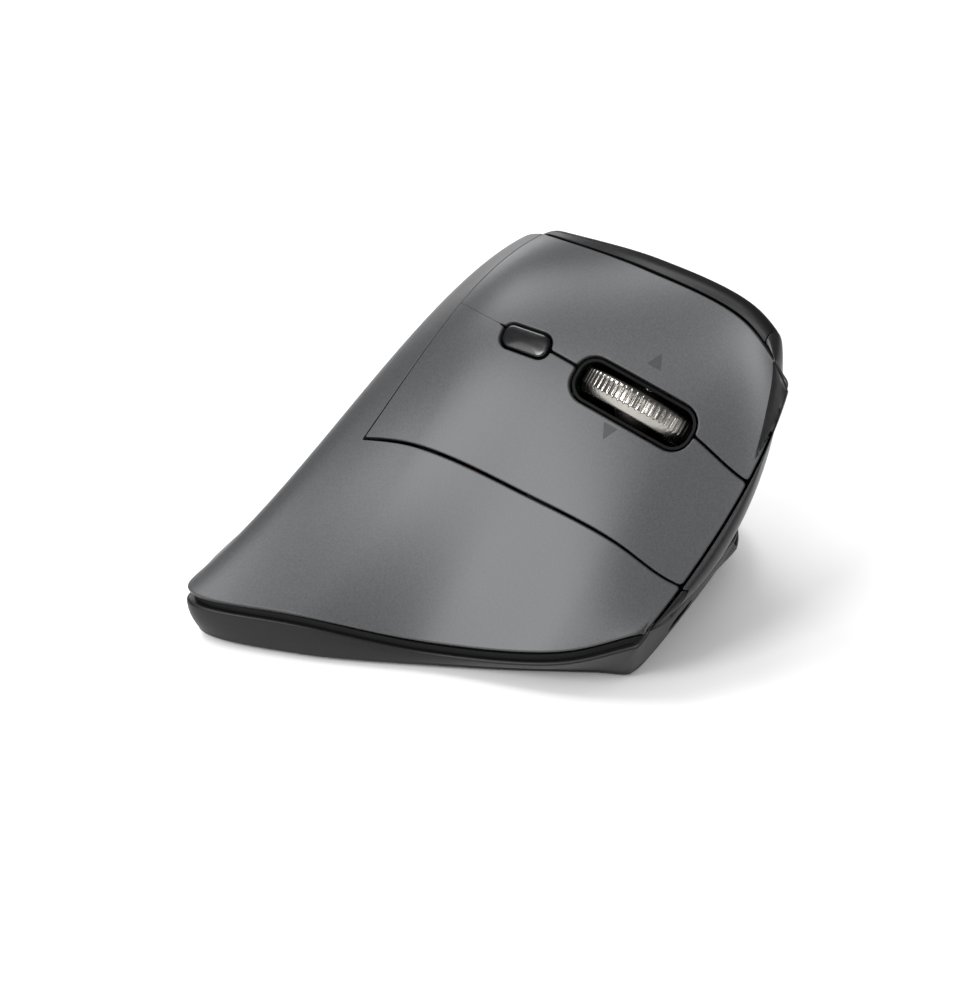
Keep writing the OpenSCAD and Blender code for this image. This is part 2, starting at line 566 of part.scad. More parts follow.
// Liner of the wheel slot, held on the two guide pins by a tab at each end
tab_low = -5.3;
tab_high = -4.1;
module wheel_bezel() {
    out_l = slot_l - 2 * key_gap;
    out_w = slot_w - 2 * key_gap;
    wall = 0.5;
    color("black") deck() difference() {
        union() {
            pill(out_l, out_w, -4.3, -1.4);
            for (e = [-1, 1]) bar(-4.5, 4.5, e > 0 ? 12 : -16.2, e > 0 ? 16.2 : -12, tab_low, tab_high);
        }
        pill(out_l - 2 * wall, out_w - 2 * wall, -9, 5);
        for (e = [-1, 1]) disc(0, e * guide_y, 0.8, -9, 0);
    }
}
module deck_frame() {
    color("#333") deck() difference() {
        union() {
            bar(-11.4, 24, -29, 8, plate_top - plate_t, plate_top);
            bar(-3.2, 2.5, 8, 17.2, plate_top - plate_t, plate_top);
            bar(2, 24, 8, 18.9, plate_top - plate_t, plate_top);
            bar(-12.6, 26.8, hinge_y - 2.4, -28, plate_top - plate_t, plate_top);
            for (q = [[-12.6, 1.5], [-1.2, 3.6], [24.8, 2]])
                bar(q[0], q[0] + q[1], hinge_y - 2, hinge_y + 2, plate_top - 0.5, hinge_z + 2);
            for (e = [-1, 1]) {
                disc(0, e * guide_y, guide_r, plate_top - 0.5, tab_low);
                disc(0, e * guide_y, 0.7, tab_low - 0.3, tab_high - 0.1);
            }
            for (p = deck_holes()) disc(p.x, p.y, 2.2, plate_top - 0.5, board_top - board_t);
            disc(20, -22, 2.2, plate_top - 0.5, board_top - board_t);
        }
        bar(-6.3, 9.8, -13, 13, -20, 0);
        for (p = deck_holes()) disc(p.x, p.y, 1.1, -20, 0);
        translate([-40, hinge_y, hinge_z]) rotate([0, 90, 0]) cylinder(r = hinge_d / 2, h = 80, $fn = 48);
    }
}
function deck_holes() = [for (q = deck_bosses) to_deck(thumb(q[0], q[1]))];
module hinge_rod() {
    color("silver") deck() translate([-12.6, hinge_y, hinge_z]) rotate([0, 90, 0])
        cylinder(r = hinge_d / 2, h = 39.4, $fn = 48);
}
module deck_board() {
    low = board_top - board_t;
    color("green") deck() difference() {
        union() {
            bar(-8, 23, -29, 18, low, board_top);
            bar(-12.8, -7, -3.5, 11.5, low, board_top);
            for (p = deck_holes()) disc(p.x, p.y, 3, low, board_top);
        }
        bar(-6.3, 9.8, -12.9, 12.9, -20, 0);
        for (p = deck_holes()) disc(p.x, p.y, 1.1, -20, 0);
        for (e = [-1, 1]) disc(0, e * guide_y, guide_r + 0.2, -20, 0);
    }
}
// Snap switch under a main key and its plunger
snap_top = 6.5;
module snap_switch(x) {
    color("#222") deck() difference() {
        bar(x - 2.9, x + 2.9, switch_y - 6.4, switch_y + 6.4, board_top, board_top + snap_top);
        disc(x, switch_y, 1.05, board_top + 3.5, 0);
    }
}
module snap_plunger(x) {
    color("white") deck() disc(x, switch_y, 1, board_top + 4.8, board_top + 7.2);
}
module left_switch() {
    snap_switch(left_switch_x);
}
module right_switch() {
    snap_switch(right_switch_x);
}
module left_plunger() {
    snap_plunger(left_switch_x);
}
module right_plunger() {
    snap_plunger(right_switch_x);
}
// Small push switch standing on z = 0 and its plunger reaching the height tip
module push_switch(side, h) {
    color("#333") difference() {
        translate([-side / 2, -side / 2, 0]) cube([side, side, h]);
        translate([0, 0, h - 1.5]) cylinder(r = 1.05, h = 4, $fn = 32);
    }
}
module push_plunger(h, tip) {
    color("white") translate([0, 0, h - 0.7]) cylinder(r = 0.9, h = tip - h + 0.7, $fn = 32);
}
click_h = 3.2;
click_side = 5;
module wheel_click_switch() {
    deck() translate([0, click_y, board_top]) push_switch(click_side, click_h);
}
module wheel_click_plunger() {
    deck() translate([0, click_y, board_top]) push_plunger(click_h, arm_z - board_top);
}
module dpi_switch() {
    deck() translate([dpi_at.x, dpi_switch_y, board_top]) push_switch(4.4, 2.6);
}
module dpi_plunger() {
    deck() translate([dpi_at.x, dpi_switch_y, board_top]) push_plunger(2.6, 3.2);
}
module dpi_button() {
    color("black") deck() difference() {
        union() {
            translate(dpi_at) rotate([dpi_tilt, 0, 0]) {
                pill(dpi_l, dpi_w, -3.1, 0.5);
                pill(dpi_l + 2, dpi_w + 2, -3.4, -2.4);
            }
            disc(dpi_at.x, dpi_switch_y, 1.3, board_top + 3.2, -5);
        }
    }
}
strip_mid = [thumb_mid(fwd[0], fwd[1]), thumb_mid(rev[0], rev[1])];
module thumb_board() {
    z = strip_mid[0].z;
    color("green") difference() {
        union() {
            bar(strip_x, strip_x + 1.2, -1.8, 27.4, z - 2.9, z + 2.8);
            bar(strip_x, strip_x + 1.2, 27, 38.5, z - 4.5, z - 0.8);
            bar(strip_x, strip_x + 1.2, 38, 42.5, z - 6, z - 2.2);
            bar(strip_x, strip_x + 1.2, -10.6, -1, z - 2.9, z + 1);
            bar(strip_x, strip_x + 1.2, -10.6, -3.6, z - 6.8, z);
        }
        for (q = strip_bosses) let (p = thumb(q[0], q[1]))
            translate([strip_x - 3, p.y, p.z]) rotate([0, 90, 0]) cylinder(r = 0.85, h = 8, $fn = 24);
    }
}
module on_strip(m) {
    translate([strip_x, m.y, m.z]) rotate([0, -90, 0]) children();
}
module thumb_switches() {
    for (m = strip_mid) on_strip(m) push_switch(5.6, strip_h);
}
module forward_plunger() {
    on_strip(strip_mid[0]) push_plunger(strip_h, strip_tip);
}
module back_plunger() {
    on_strip(strip_mid[1]) push_plunger(strip_h, strip_tip);
}
module main_board() {
    color("green") difference() {
        union() {
            bar(-14, 26, -14, 30, board_z, board_z + 1.2);
            bar(-14, 0, -26, -13, board_z, board_z + 1.2);
            bar(3, 16, 29, 35, board_z, board_z + 1.2);
        }
        for (p = board_posts) disc(p.x, p.y, 1.1, 0, 9);
        bar(sensor.x - 3, sensor.x + 3, sensor.y - 2.5, sensor.y + 2.5, 0, 9);
        translate(usb) rotate([0, 0, usb_turn]) bar(-4.6, 4.6, -4.2, 8, -4, 4);
    }
}
module sensor_chip() {
    color("black") bar(sensor.x - 6, sensor.x + 6, sensor.y - 5, sensor.y + 5, board_z + 1.2, board_z + 3.2);
}
module sensor_lens() {
    color("lightblue") {
        bar(sensor.x - 3.8, sensor.x + 3.8, sensor.y - 3.3, sensor.y + 3.3, foot_z + 0.5, board_z - 0.1);
        disc(sensor.x, sensor.y, 2, board_z - 0.2, board_z + 1.1);
    }
}
module battery_cell() {
    color("silver") {
        bar(3, 35, -32, -17, 2.8, 8.2);
        bar(1.4, 3.1, -31, -18, 4.4, 6.6);
    }
}
module usb_port() {
    color("silver") translate(usb) rotate([90, 0, usb_turn]) difference() {
        union() {
            bar(-2.8, 2.8, -1.6, 1.6, -3.2, 4);
            for (e = [-1, 1]) disc(e * 2.8, 0, 1.6, -3.2, 4);
        }
        bar(-2.8, 2.8, -1.3, 1.3, -4, 3);
        for (e = [-1, 1]) disc(e * 2.8, 0, 1.3, -4, 3);
    }
    color("black") translate(usb) rotate([90, 0, usb_turn]) bar(-2.6, 2.6, -0.35, 0.35, -2.4, 3.1);
}
// Flat cable from the deck board down to the main board
module ribbon_cable() {
    a = deck_at + deck_x * 21 + deck_y * -8 + deck_z * (board_top + 0.4);
    b = a + deck_x * 6 + deck_z * 1;
    c = [32, b.y, 16];
    d = [25, a.y, board_z + 1.5];
    path = [for (i = [0:14]) bez(a, b, c, d, i / 14)];
    color("orange") rings([for (k = [14:-1:0]) let (
        t = unit(path[min(14, k + 1)] - path[max(0, k - 1)]),
        w = mix(deck_y, [0, 1, 0], ease(0, 14, k)) * 3,
        n = unit(cross(t, w)) * 0.15
    ) [path[k] - w - n, path[k] + w - n, path[k] + w + n, path[k] - w + n]]);
}
module battery_lead() {
    for (e = [-1, 1]) color(e < 0 ? "red" : "black") tube([for (i = [0:12])
        bez([0.8, -22 + e, 6.3], [0.2, -22 + e, 10], [-3, -14 + e * 2, 12], [2 + 2 * e, -10, 7.1],
            i / 12)], 0.5);
}
module power_switch() {
    color("silver") difference() {
        bar(power.x - 2.2, power.x + 2.2, power.y - 4.6, power.y + 4.6, 3.6, board_z);
        bar(power.x - 0.8, power.x + 0.8, power.y - 3.4, power.y + 3.4, 3, 4.7);
    }
}
module power_slider() {
    color("red") {
        bar(power.x - 1.8, power.x + 1.8, power.y - 2.2, power.y + 2.2, 0.5, 2.8);
        bar(power.x - 3, power.x + 3, power.y - 4, power.y + 4, 2.78, 3.4);
        bar(power.x - 0.6, power.x + 0.6, power.y - 1, power.y + 1, 3.3, 4.5);
    }
}
module pair_button() {
    color("black") {
        disc(pair.x, pair.y, 2.5, 0.6, 2.9);
        disc(pair.x, pair.y, 3.4, 2.78, 3.3);
    }
}
module pair_switch() {
    color("#333") difference() {
        bar(pair.x - 2.2, pair.x + 2.2, pair.y - 2.2, pair.y + 2.2, 3.7, board_z);
        disc(pair.x, pair.y, 0.95, 3, 4.8);
    }
}
module pair_plunger() {
    color("white") disc(pair.x, pair.y, 0.9, 3.3, 4.4);
}
module screw(p, head_z, length) {
    translate([0, 0, head_z]) {
        difference() {
            translate([p.x, p.y, 0]) cylinder(r = 2, h = 1.3, $fn = 32);
            disc(p.x, p.y, 0.9, 0.6, 2);
        }
        translate([p.x, p.y, -length]) cylinder(r = screw_r, h = length + 0.01, $fn = 24);
    }
}
module case_screws() {
    color("silver") for (p = base_screws()) translate([p.x, p.y, 3]) rotate([180, 0, 0])
        screw([0, 0], 0, case_screw_z - 0.9);
}
module board_screws() {
    color("silver") {
        for (p = board_posts) screw(p, board_z + 1.2, 3.6);
        deck() for (p = deck_holes()) screw(p, board_top, 7);
        for (q = strip_bosses) let (p = thumb(q[0], q[1])) translate([strip_x + 1.2, p.y, p.z])
            rotate([0, 90, 0]) {
                cylinder(r = 1.5, h = 1, $fn = 32);
                translate([0, 0, -3.6]) cylinder(r = 0.75, h = 3.7, $fn = 24);
            }
    }
}

placed() top_shell();
placed() left_button();
placed() right_button();
placed() thumb_shell();
placed() front_panel();
placed() rim_band();
placed() base_shell();
placed() forward_button();
placed() back_button();
placed() dpi_button();
placed() wheel_rim();
placed() wheel_hub();
placed() wheel_axle();
placed() encoder_rotor();
placed() encoder_body();
placed() wheel_carrier();
placed() wheel_springs();
placed() wheel_bezel();
placed() deck_frame();
placed() deck_board();
placed() hinge_rod();
placed() left_switch();
placed() left_plunger();
placed() right_switch();
placed() right_plunger();
placed() wheel_click_switch();
placed() wheel_click_plunger();
placed() dpi_switch();
placed() dpi_plunger();
placed() thumb_board();
placed() thumb_switches();
placed() forward_plunger();
placed() back_plunger();
placed() main_board();
placed() sensor_chip();
placed() sensor_lens();
placed() battery_cell();
placed() usb_port();
placed() ribbon_cable();
placed() battery_lead();
placed() power_switch();
placed() power_slider();
placed() pair_button();
placed() pair_plunger();
placed() pair_switch();
placed() glide_feet();
placed() case_screws();
placed() board_screws();
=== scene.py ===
"""Looks of the vertical mouse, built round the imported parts. All tables are in millimetres."""
import json
import math

import bpy
import numpy as np
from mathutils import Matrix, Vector
from mathutils.geometry import delaunay_2d_cdt


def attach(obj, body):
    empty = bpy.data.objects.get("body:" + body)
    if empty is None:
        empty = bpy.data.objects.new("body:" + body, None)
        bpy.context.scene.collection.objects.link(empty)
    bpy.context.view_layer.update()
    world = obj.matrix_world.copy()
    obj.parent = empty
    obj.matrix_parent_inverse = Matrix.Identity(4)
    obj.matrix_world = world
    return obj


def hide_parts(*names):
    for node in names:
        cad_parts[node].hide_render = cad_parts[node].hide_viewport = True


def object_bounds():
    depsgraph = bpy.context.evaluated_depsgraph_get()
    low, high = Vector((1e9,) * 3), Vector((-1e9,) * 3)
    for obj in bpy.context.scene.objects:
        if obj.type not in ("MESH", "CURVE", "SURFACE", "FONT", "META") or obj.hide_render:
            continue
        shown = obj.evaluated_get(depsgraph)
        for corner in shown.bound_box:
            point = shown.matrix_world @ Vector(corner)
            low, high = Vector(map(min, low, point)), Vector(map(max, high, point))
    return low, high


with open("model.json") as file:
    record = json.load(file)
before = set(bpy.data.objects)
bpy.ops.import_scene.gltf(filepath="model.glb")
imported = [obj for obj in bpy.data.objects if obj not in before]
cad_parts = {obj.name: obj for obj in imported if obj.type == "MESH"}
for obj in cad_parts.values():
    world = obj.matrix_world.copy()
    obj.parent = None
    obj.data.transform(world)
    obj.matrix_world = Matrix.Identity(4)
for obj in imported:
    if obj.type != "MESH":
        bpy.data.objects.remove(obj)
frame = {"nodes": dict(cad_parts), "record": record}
box_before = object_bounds()

MIDDLE = np.array([16.25, 2.25, 0])
MM = 0.001

# ---------------------------------------------------------------- surfaces
RIDGE = np.array([[-6.5, 53.5, 54.5], [-9.5, 40, 62], [-8.5, 19, 65], [-8.5, -0.5, 64.5],
                  [-12, -11, 61], [-15, -18.5, 54.5], [-18, -29.5, 42], [-21.5, -39.5, 26],
                  [-24, -46, 12]])
LIP = np.array([[27, 48, 14.5], [37, 34.5, 9.5], [47, 12, 7], [59, -9, 10], [67, -28.5, 10.5],
                [57, -34, 10], [33, -39, 10.5], [9, -46, 11.5], [-15, -49.5, 12.5]])
SWELL = np.array([[75, 52, 0.45, 0], [50, 49, 0.41, 0.29], [29, 42, 0.38, 0.44],
                  [10, 30, 0.35, 0.49], [5, 24, 0.26, 0.39], [16, 23, 0.32, 0.31],
                  [33, 20, 0.38, 0.35], [53, 20, 0.4, 0.39], [62, 25, 0.39, 0.42]])
LEDGE = np.array([[-8, 41, 10], [-20, 35, 9.5], [-29, 25, 9], [-33, 10, 8.5], [-34.5, -8, 8.5],
                  [-34, -22, 8.5], [-33, -33, 8.5], [-31, -40, 8.5], [-28, -45, 8.5]])
TUCK = np.array([.13, .13, .01, -.01, .02, .04, .05, .05, .05])
SKIN, LIP_SKIN, SIDE_WALL, KEY_GAP = 1.8, 1.0, 1.8, 0.45
TRIM_W, ROLL_R, ROLL_END, SIDE_FRONT, SIDE_GAP = 1.0, 3.0, 0.25, 0.07, 0.25
KEY_REAR, MID, LOW = 0.448, 0.28, 0.631
HALF_V, HALF_S = KEY_GAP / 130, KEY_GAP / 230


def mix(a, b, t):
    return a + (b - a) * t


def ease(a, b, x):
    t = np.clip((x - a) / (b - a), 0, 1)
    return t * t * (3 - 2 * t)


def unit(a):
    return a / np.maximum(np.linalg.norm(a, axis=-1, keepdims=True), 1e-12)


def col(a):
    return np.asarray(a)[..., None]


def along(p, s):
    if p.ndim == 1:
        return along(p[:, None], s)[..., 0]
    n = len(p) - 1
    ext = np.vstack([2 * p[0] - p[1], p, 2 * p[-1] - p[-2]])
    i = np.clip(np.floor(s * n), 0, n - 1).astype(int)
    f = col(s * n - i)
    a, b, c, d = ext[i], ext[i + 1], ext[i + 2], ext[i + 3]
    return (2 * b + (c - a) * f + (2 * a - 5 * b + 4 * c - d) * f ** 2
            + (3 * b - a - 3 * c + d) * f ** 3) / 2


def bez(a, b, c, d, t):
    t = col(t)
    return a * (1 - t) ** 3 + b * 3 * t * (1 - t) ** 2 + c * 3 * t * t * (1 - t) + d * t ** 3


def level(a):
    return unit(a * [1, 1, 0])


UP = np.array([0, 0, 1.0])


def hand(s, v):
    r, l, q = along(RIDGE, s), along(LIP, s), along(SWELL, s)
    h, w = level(l - r), np.linalg.norm(l - r, axis=-1, keepdims=True)
    a0, a1 = np.radians(q[..., 0:1]), np.radians(q[..., 1:2])
    upper = r + w * q[..., 2:3] * (h * np.cos(a0) - UP * np.sin(a0))
    lower = l - w * q[..., 3:4] * (h * np.cos(a1) - UP * np.sin(a1))
    return bez(r, upper, lower, l, v)


def thumb(s, w):
    s, w = np.broadcast_arrays(np.asarray(s, float), np.asarray(w, float))
    r, q = along(RIDGE, s), along(SWELL, s)
    h = level(along(LIP, s) - r)
    a0 = np.radians(q[..., 0:1])
    t = h * np.cos(a0) - UP * np.sin(a0)
    n = h * np.sin(a0) + UP * np.cos(a0)
    k = ease(0.42, 0.52, s)
    slim = mix(0.65, 1, ease(0.05, 0.3, s))
    flat = TRIM_W * (1 - k) * slim
    rr = mix(ROLL_R * slim, ROLL_R / 2, k)
    start = r - KEY_GAP * t - 1.2 * col(k) * n
    turn = np.radians(82 + q[..., 0])
    run = np.minimum(1, w / ROLL_END) * (flat + rr * turn)
    phi = col((run - flat) / rr)
    centre = start - col(flat) * t - col(rr) * n
    rolled = np.where(col(run < flat), start - col(run) * t,
                      centre + col(rr) * (n * np.cos(phi) - t * np.sin(phi)))
    down = -n * np.sin(col(turn)) - t * np.cos(col(turn))
    out = along(LEDGE, s)
    hgt = np.linalg.norm(rolled - out, axis=-1, keepdims=True)
    wall = bez(rolled, rolled + 0.5 * hgt * down, out + 0.3 * hgt * np.array([1, -0.1, 0.12]), out,
               (w - ROLL_END) / (1 - ROLL_END))
    return np.where(col(w <= ROLL_END), rolled, wall)


def nose(u, w):
    u, w = np.broadcast_arrays(np.asarray(u, float), np.asarray(w, float))
    zero, front = np.zeros_like(w), np.full_like(w, SIDE_FRONT)
    a, b = hand(zero, w), thumb(front, w)
    fa, fb = unit(a - hand(zero + 0.01, w)), unit(b - thumb(front + 0.01, w))
    mid_e, low_e = ease(0, 0.6, w), ease(0.6, 1, w)
    full_a = mix(mix(0.2, 5.5, mid_e), 2, low_e)
    full_b = mix(mix(2.7, 5.5, mid_e), 2, low_e)
    p, q = a + KEY_GAP * fa, b + SIDE_GAP * fb
    return bez(p, p + col(full_a) * fa, q + col(full_b) * fb, q, u)


def wall_hand(a, b):
    c = mix(SKIN, LIP_SKIN, ease(0.8, 1, b))
    return c * mix(0.5 / SKIN, 1, np.maximum(ease(0, 0.1, a), ease(0.25, 0.45, b)))


def wall_thumb(a, b):
    return mix(SIDE_WALL, LIP_SKIN, ease(0.8, 1, b))


def wall_nose(a, b):
    c = mix(SIDE_WALL, LIP_SKIN, ease(0.8, 1, b))
    return mix(0.5, c, ease(0, 0.3, a) * (1 - ease(0.75, 1, a)) * ease(0, 0.2, b))


DECK_AT = np.array([7.8, 29.2, 47.4])


def turned(rx, ry, rz):
    a, b, c = np.radians([rx, ry, rz])
    mx = np.array([[1, 0, 0], [0, math.cos(a), -math.sin(a)], [0, math.sin(a), math.cos(a)]])
    my = np.array([[math.cos(b), 0, math.sin(b)], [0, 1, 0], [-math.sin(b), 0, math.cos(b)]])
    mz = np.array([[math.cos(c), -math.sin(c), 0], [math.sin(c), math.cos(c), 0], [0, 0, 1]])
    return mz @ my @ mx


DECK = turned(-25, 47, -7)


def to_deck(p):
    return (p - DECK_AT) @ DECK


def from_deck(q):
    return DECK_AT + np.asarray(q) @ DECK.T


def hand_at(x, y):
    """Station and line of the hand surface above a point of the deck."""
    s, v = np.full_like(x, 0.2), np.full_like(x, 0.28)
    e = 1e-4
    for _ in range(25):
        p = to_deck(hand(s, v))[..., :2]
        ds = (to_deck(hand(s + e, v))[..., :2] - p) / e
        dv = (to_deck(hand(s, v + e))[..., :2] - p) / e
        rx, ry = x - p[..., 0], y - p[..., 1]
        det = ds[..., 0] * dv[..., 1] - ds[..., 1] * dv[..., 0]
        s = np.clip(s + (rx * dv[..., 1] - ry * dv[..., 0]) / det, -0.02, 0.6)
        v = np.clip(v + (ds[..., 0] * ry - ds[..., 1] * rx) / det, -0.02, 0.8)
    return np.stack([s, v], -1)


# ---------------------------------------------------------------- plates on a surface
def frame_at(surf, q, sign, e=5e-4):
    """Point, outward normal and both surface tangents at the parameters q."""
    a, b = q[:, 0], q[:, 1]
    pa = (surf(a + e, b) - surf(a - e, b)) / (2 * e)
    pb = (surf(a, b + e) - surf(a, b - e)) / (2 * e)
    return surf(a, b), sign * unit(np.cross(pa, pb)), pa, pb


def lengths(surf, q):
    p = surf(q[:, 0], q[:, 1])
    return np.concatenate([[0], np.cumsum(np.linalg.norm(np.diff(p, axis=0), axis=1))])


def line(a, b, n=60):
    return np.array(a) + np.linspace(0, 1, n)[:, None] * (np.array(b) - np.array(a))


def cut(surf, q, skip_a, skip_b, step):
    c = lengths(surf, q)
    n = max(2, int(math.ceil((c[-1] - skip_a - skip_b) / step)) + 1)
    t = np.linspace(skip_a, c[-1] - skip_b, n)
    return np.stack([np.interp(t, c, q[:, 0]), np.interp(t, c, q[:, 1])], -1)


def outline(surf, segs, radii, step=0.9):
    """Closed line through the segments; radii[i] rounds the corner after segment i."""
    out = []
    n = len(segs)
    parts = [cut(surf, segs[i], radii[i - 1], radii[i], step if not isinstance(step, (list, tuple))
                 else step[i]) for i in range(n)]
    for i in range(n):
        out.append(parts[i])
        a, c = parts[i][-1], parts[(i + 1) % n][0]
        b = (segs[i][-1] + segs[(i + 1) % n][0]) / 2
        k = max(3, int(radii[i] / 0.18))
        t = np.linspace(0, 1, k + 2)[1:-1, None]
        out.append(a * (1 - t) ** 2 + 2 * b * t * (1 - t) + c * t * t)
    q = np.vstack(out)
    x, y = q[:, 0], q[:, 1]
    if np.sum(x * np.roll(y, -1) - np.roll(x, -1) * y) < 0:
        q = q[::-1]
    return q


def inside(loops, pts):
    hit = np.zeros(len(pts), bool)
    for q in loops:
        a, b = q, np.roll(q, -1, 0)
        for k in range(len(q)):
            ay, by = a[k, 1], b[k, 1]
            if ay == by:
                continue
            sel = (ay > pts[:, 1]) != (by > pts[:, 1])
            x = a[k, 0] + (pts[:, 1] - ay) * (b[k, 0] - a[k, 0]) / (by - ay)
            hit ^= sel & (pts[:, 0] < x)
    return hit


def make(name, verts, faces, normals=None, station=True):
    """Mesh object from millimetre points; normals, if given, hold one vector per face corner."""
    v = (np.asarray(verts) - (MIDDLE if station else 0)) * MM
    mesh = bpy.data.meshes.new(name)
    mesh.from_pydata(v.tolist(), [], faces)
    mesh.update()
    mesh.polygons.foreach_set("use_smooth", [True] * len(mesh.polygons))
    if normals is not None:
        mesh.normals_split_custom_set([tuple(x) for x in normals])
    o = bpy.data.objects.new(name, mesh)
    bpy.context.scene.collection.objects.link(o)
    return o


def volume(v, tris):
    a, b, c = v[tris[:, 0]], v[tris[:, 1]], v[tris[:, 2]]
    return np.sum(a * np.cross(b, c)) / 6


def shell(name, surf, sign, loops, wall, r=0.35, grid=1.2, lift=0.0, arcs=4, scale=(230, 110)):
    """Closed plate with a rolled edge of radius r. loops[0] is the outline, the rest are holes."""
    loops = [q if i == 0 else q[::-1] for i, q in enumerate(loops)]
    sc = np.array(scale, float)
    rows, radii = [], []
    for q in loops:
        p, n, pa, pb = frame_at(surf, q, sign)
        radii.append(r(q[:, 0], q[:, 1])[:, None] if callable(r) else np.full((len(q), 1), r))
        e = unit(np.roll(p, -1, 0) - p)
        m1 = unit(np.cross(sign * n, e))
        m0 = np.roll(m1, 1, 0)
        m = unit(m0 + m1)
        m = m / np.clip(np.sum(m * m1, -1, keepdims=True), 0.7, 1)
        m = m - n * np.sum(m * n, -1, keepdims=True)
        g11, g12, g22 = (pa * pa).sum(-1), (pa * pb).sum(-1), (pb * pb).sum(-1)
        h1, h2 = (pa * m).sum(-1) * radii[-1][:, 0], (pb * m).sum(-1) * radii[-1][:, 0]
        det = g11 * g22 - g12 ** 2
        dq = np.stack([(g22 * h1 - g12 * h2) / det, (g11 * h2 - g12 * h1) / det], -1)
        rows.append((q, p, n, m, q + dq))
    inset = [w[4] for w in rows]
    r = np.vstack(radii)
    lo, hi = (loops[0].min(0) * sc), (loops[0].max(0) * sc)
    gx = np.arange(lo[0] + grid * 0.37, hi[0], grid)
    gy = np.arange(lo[1] + grid * 0.41, hi[1], grid)
    pts = np.stack(np.meshgrid(gx, gy, indexing="ij"), -1)
    pts[:, ::2, 0] += grid / 2
    pts = pts.reshape(-1, 2)
    pts = pts[inside([q * sc for q in inset], pts)]
    edge = np.vstack([q * sc for q in inset])
    near = np.full(len(pts), 1e9)
    for k in range(0, len(edge), 64):
        d = np.linalg.norm(pts[:, None] - edge[None, k:k + 64], axis=-1).min(1)
        near = np.minimum(near, d)
    pts = pts[near > grid * 0.55]
    count = len(edge)
    edges, at = [], 0
    for q in inset:
        edges += [(at + i, at + (i + 1) % len(q)) for i in range(len(q))]
        at += len(q)
    every = np.vstack([edge, pts])
    _, _, rf, orig, _, _ = delaunay_2d_cdt([Vector(x) for x in every], edges, [], 0, 1e-6)
    back = {}
    for i, o in enumerate(orig):
        back[i] = o[0] if o else None
    tri = np.array([[back[i] for i in f] for f in rf if all(back[i] is not None for i in f)
                    and len(f) == 3])
    tri = tri[inside([q * sc for q in inset], every[tri].mean(1))]
    area = np.cross(every[tri[:, 1]] - every[tri[:, 0]], every[tri[:, 2]] - every[tri[:, 0]])
    tri = np.where(area[:, None] > 0, tri, tri[:, ::-1])
    q_in = every[count:] / sc
    pe, ne, _, _ = frame_at(surf, np.vstack([np.vstack(inset), q_in]), sign)
    p0 = np.vstack([w[1] for w in rows]) + 0
    n0 = np.vstack([w[2] for w in rows])
    m0 = np.vstack([w[3] for w in rows])
    q0 = np.vstack([w[0] for w in rows])
    depth = wall(q0[:, 0], q0[:, 1])[:, None] if callable(wall) else np.full((count, 1), wall)
    depth_in = wall(q_in[:, 0], q_in[:, 1])[:, None] if callable(wall) else wall
    off = pe[:count] - (p0 + m0 * r)
    rings, rn = [pe[:count]], [ne[:count]]
    for k in range(1, arcs + 1):
        psi = math.pi / 2 * (1 - k / arcs)
        rings.append(p0 + m0 * r * (1 - math.cos(psi)) - n0 * r * (1 - math.sin(psi))
                     + off * (1 - k / arcs))
        rn.append(unit(n0 * math.sin(psi) - unit(m0) * math.cos(psi)))
    rings.append(p0 - n0 * (depth + lift))
    rn.append(-unit(m0))
    top_in = pe[count:]
    low_in = pe[count:] - ne[count:] * (depth_in + lift)
    verts = np.vstack(rings + [top_in, low_in])
    if lift:
        verts[:count * (arcs + 1)] += np.tile(n0, (arcs + 1, 1)) * lift
        verts[count * (arcs + 1):count * (arcs + 2)] += n0 * lift
        verts[count * (arcs + 2):] += np.vstack([ne[count:], ne[count:]]) * lift
    base_in = count * (arcs + 2)
    faces, norms = [], []

    def put(f, ns):
        if sign < 0:
            f, ns = f[::-1], ns[::-1]
        faces.append([int(x) for x in f])
        norms.extend(ns)
    for t in tri:
        f = [x if x < count else base_in + x - count for x in t]
        put(f, [ne[x] for x in t])
    at = 0
    for q in inset:
        for i in range(len(q)):
            j = (i + 1) % len(q)
            for k in range(arcs + 1):
                a, b = k * count + at, (k + 1) * count + at
                hi_n = [rn[k][at + i], rn[k][at + j]]
                lo_n = [rn[k + 1][at + i], rn[k + 1][at + j]]
                put([a + i, b + i, b + j, a + j], [hi_n[0], lo_n[0], lo_n[1], hi_n[1]])
        at += len(q)
    low = base_in + len(q_in)
    for t in tri[:, ::-1]:
        f = [(arcs + 1) * count + x if x < count else low + x - count for x in t]
        put(f, [-ne[x] for x in t])
    return make(name, verts, faces, norms)


# ---------------------------------------------------------------- outlines of the keys
SLOT_L, SLOT_W = 25.8, 9.5
DPI_AT, DPI_TILT, DPI_TURN = np.array([-0.4, -23.9, -2.1]), 11.4, 9.0
DPI_L, DPI_W, DPI_CORNER = 9.7, 4.5, 0.42


def rounded(l, w, c, n=14):
    """Rounded rectangle in the plane, w across and l along, as a closed line."""
    out = []
    for k, (sx, sy) in enumerate([(1, 1), (-1, 1), (-1, -1), (1, -1)]):
        a = np.radians(90 * k + np.linspace(0, 90, n))
        out.append(np.stack([sx * (w / 2 - c) + c * np.cos(a), sy * (l / 2 - c) + c * np.sin(a)], -1))
    q = np.vstack(out)
    dense = []
    for a, b in zip(q, np.roll(q, -1, 0)):
        m = max(1, int(np.linalg.norm(b - a) / 0.4))
        dense += [a + (b - a) * i / m for i in range(m)]
    return np.array(dense)


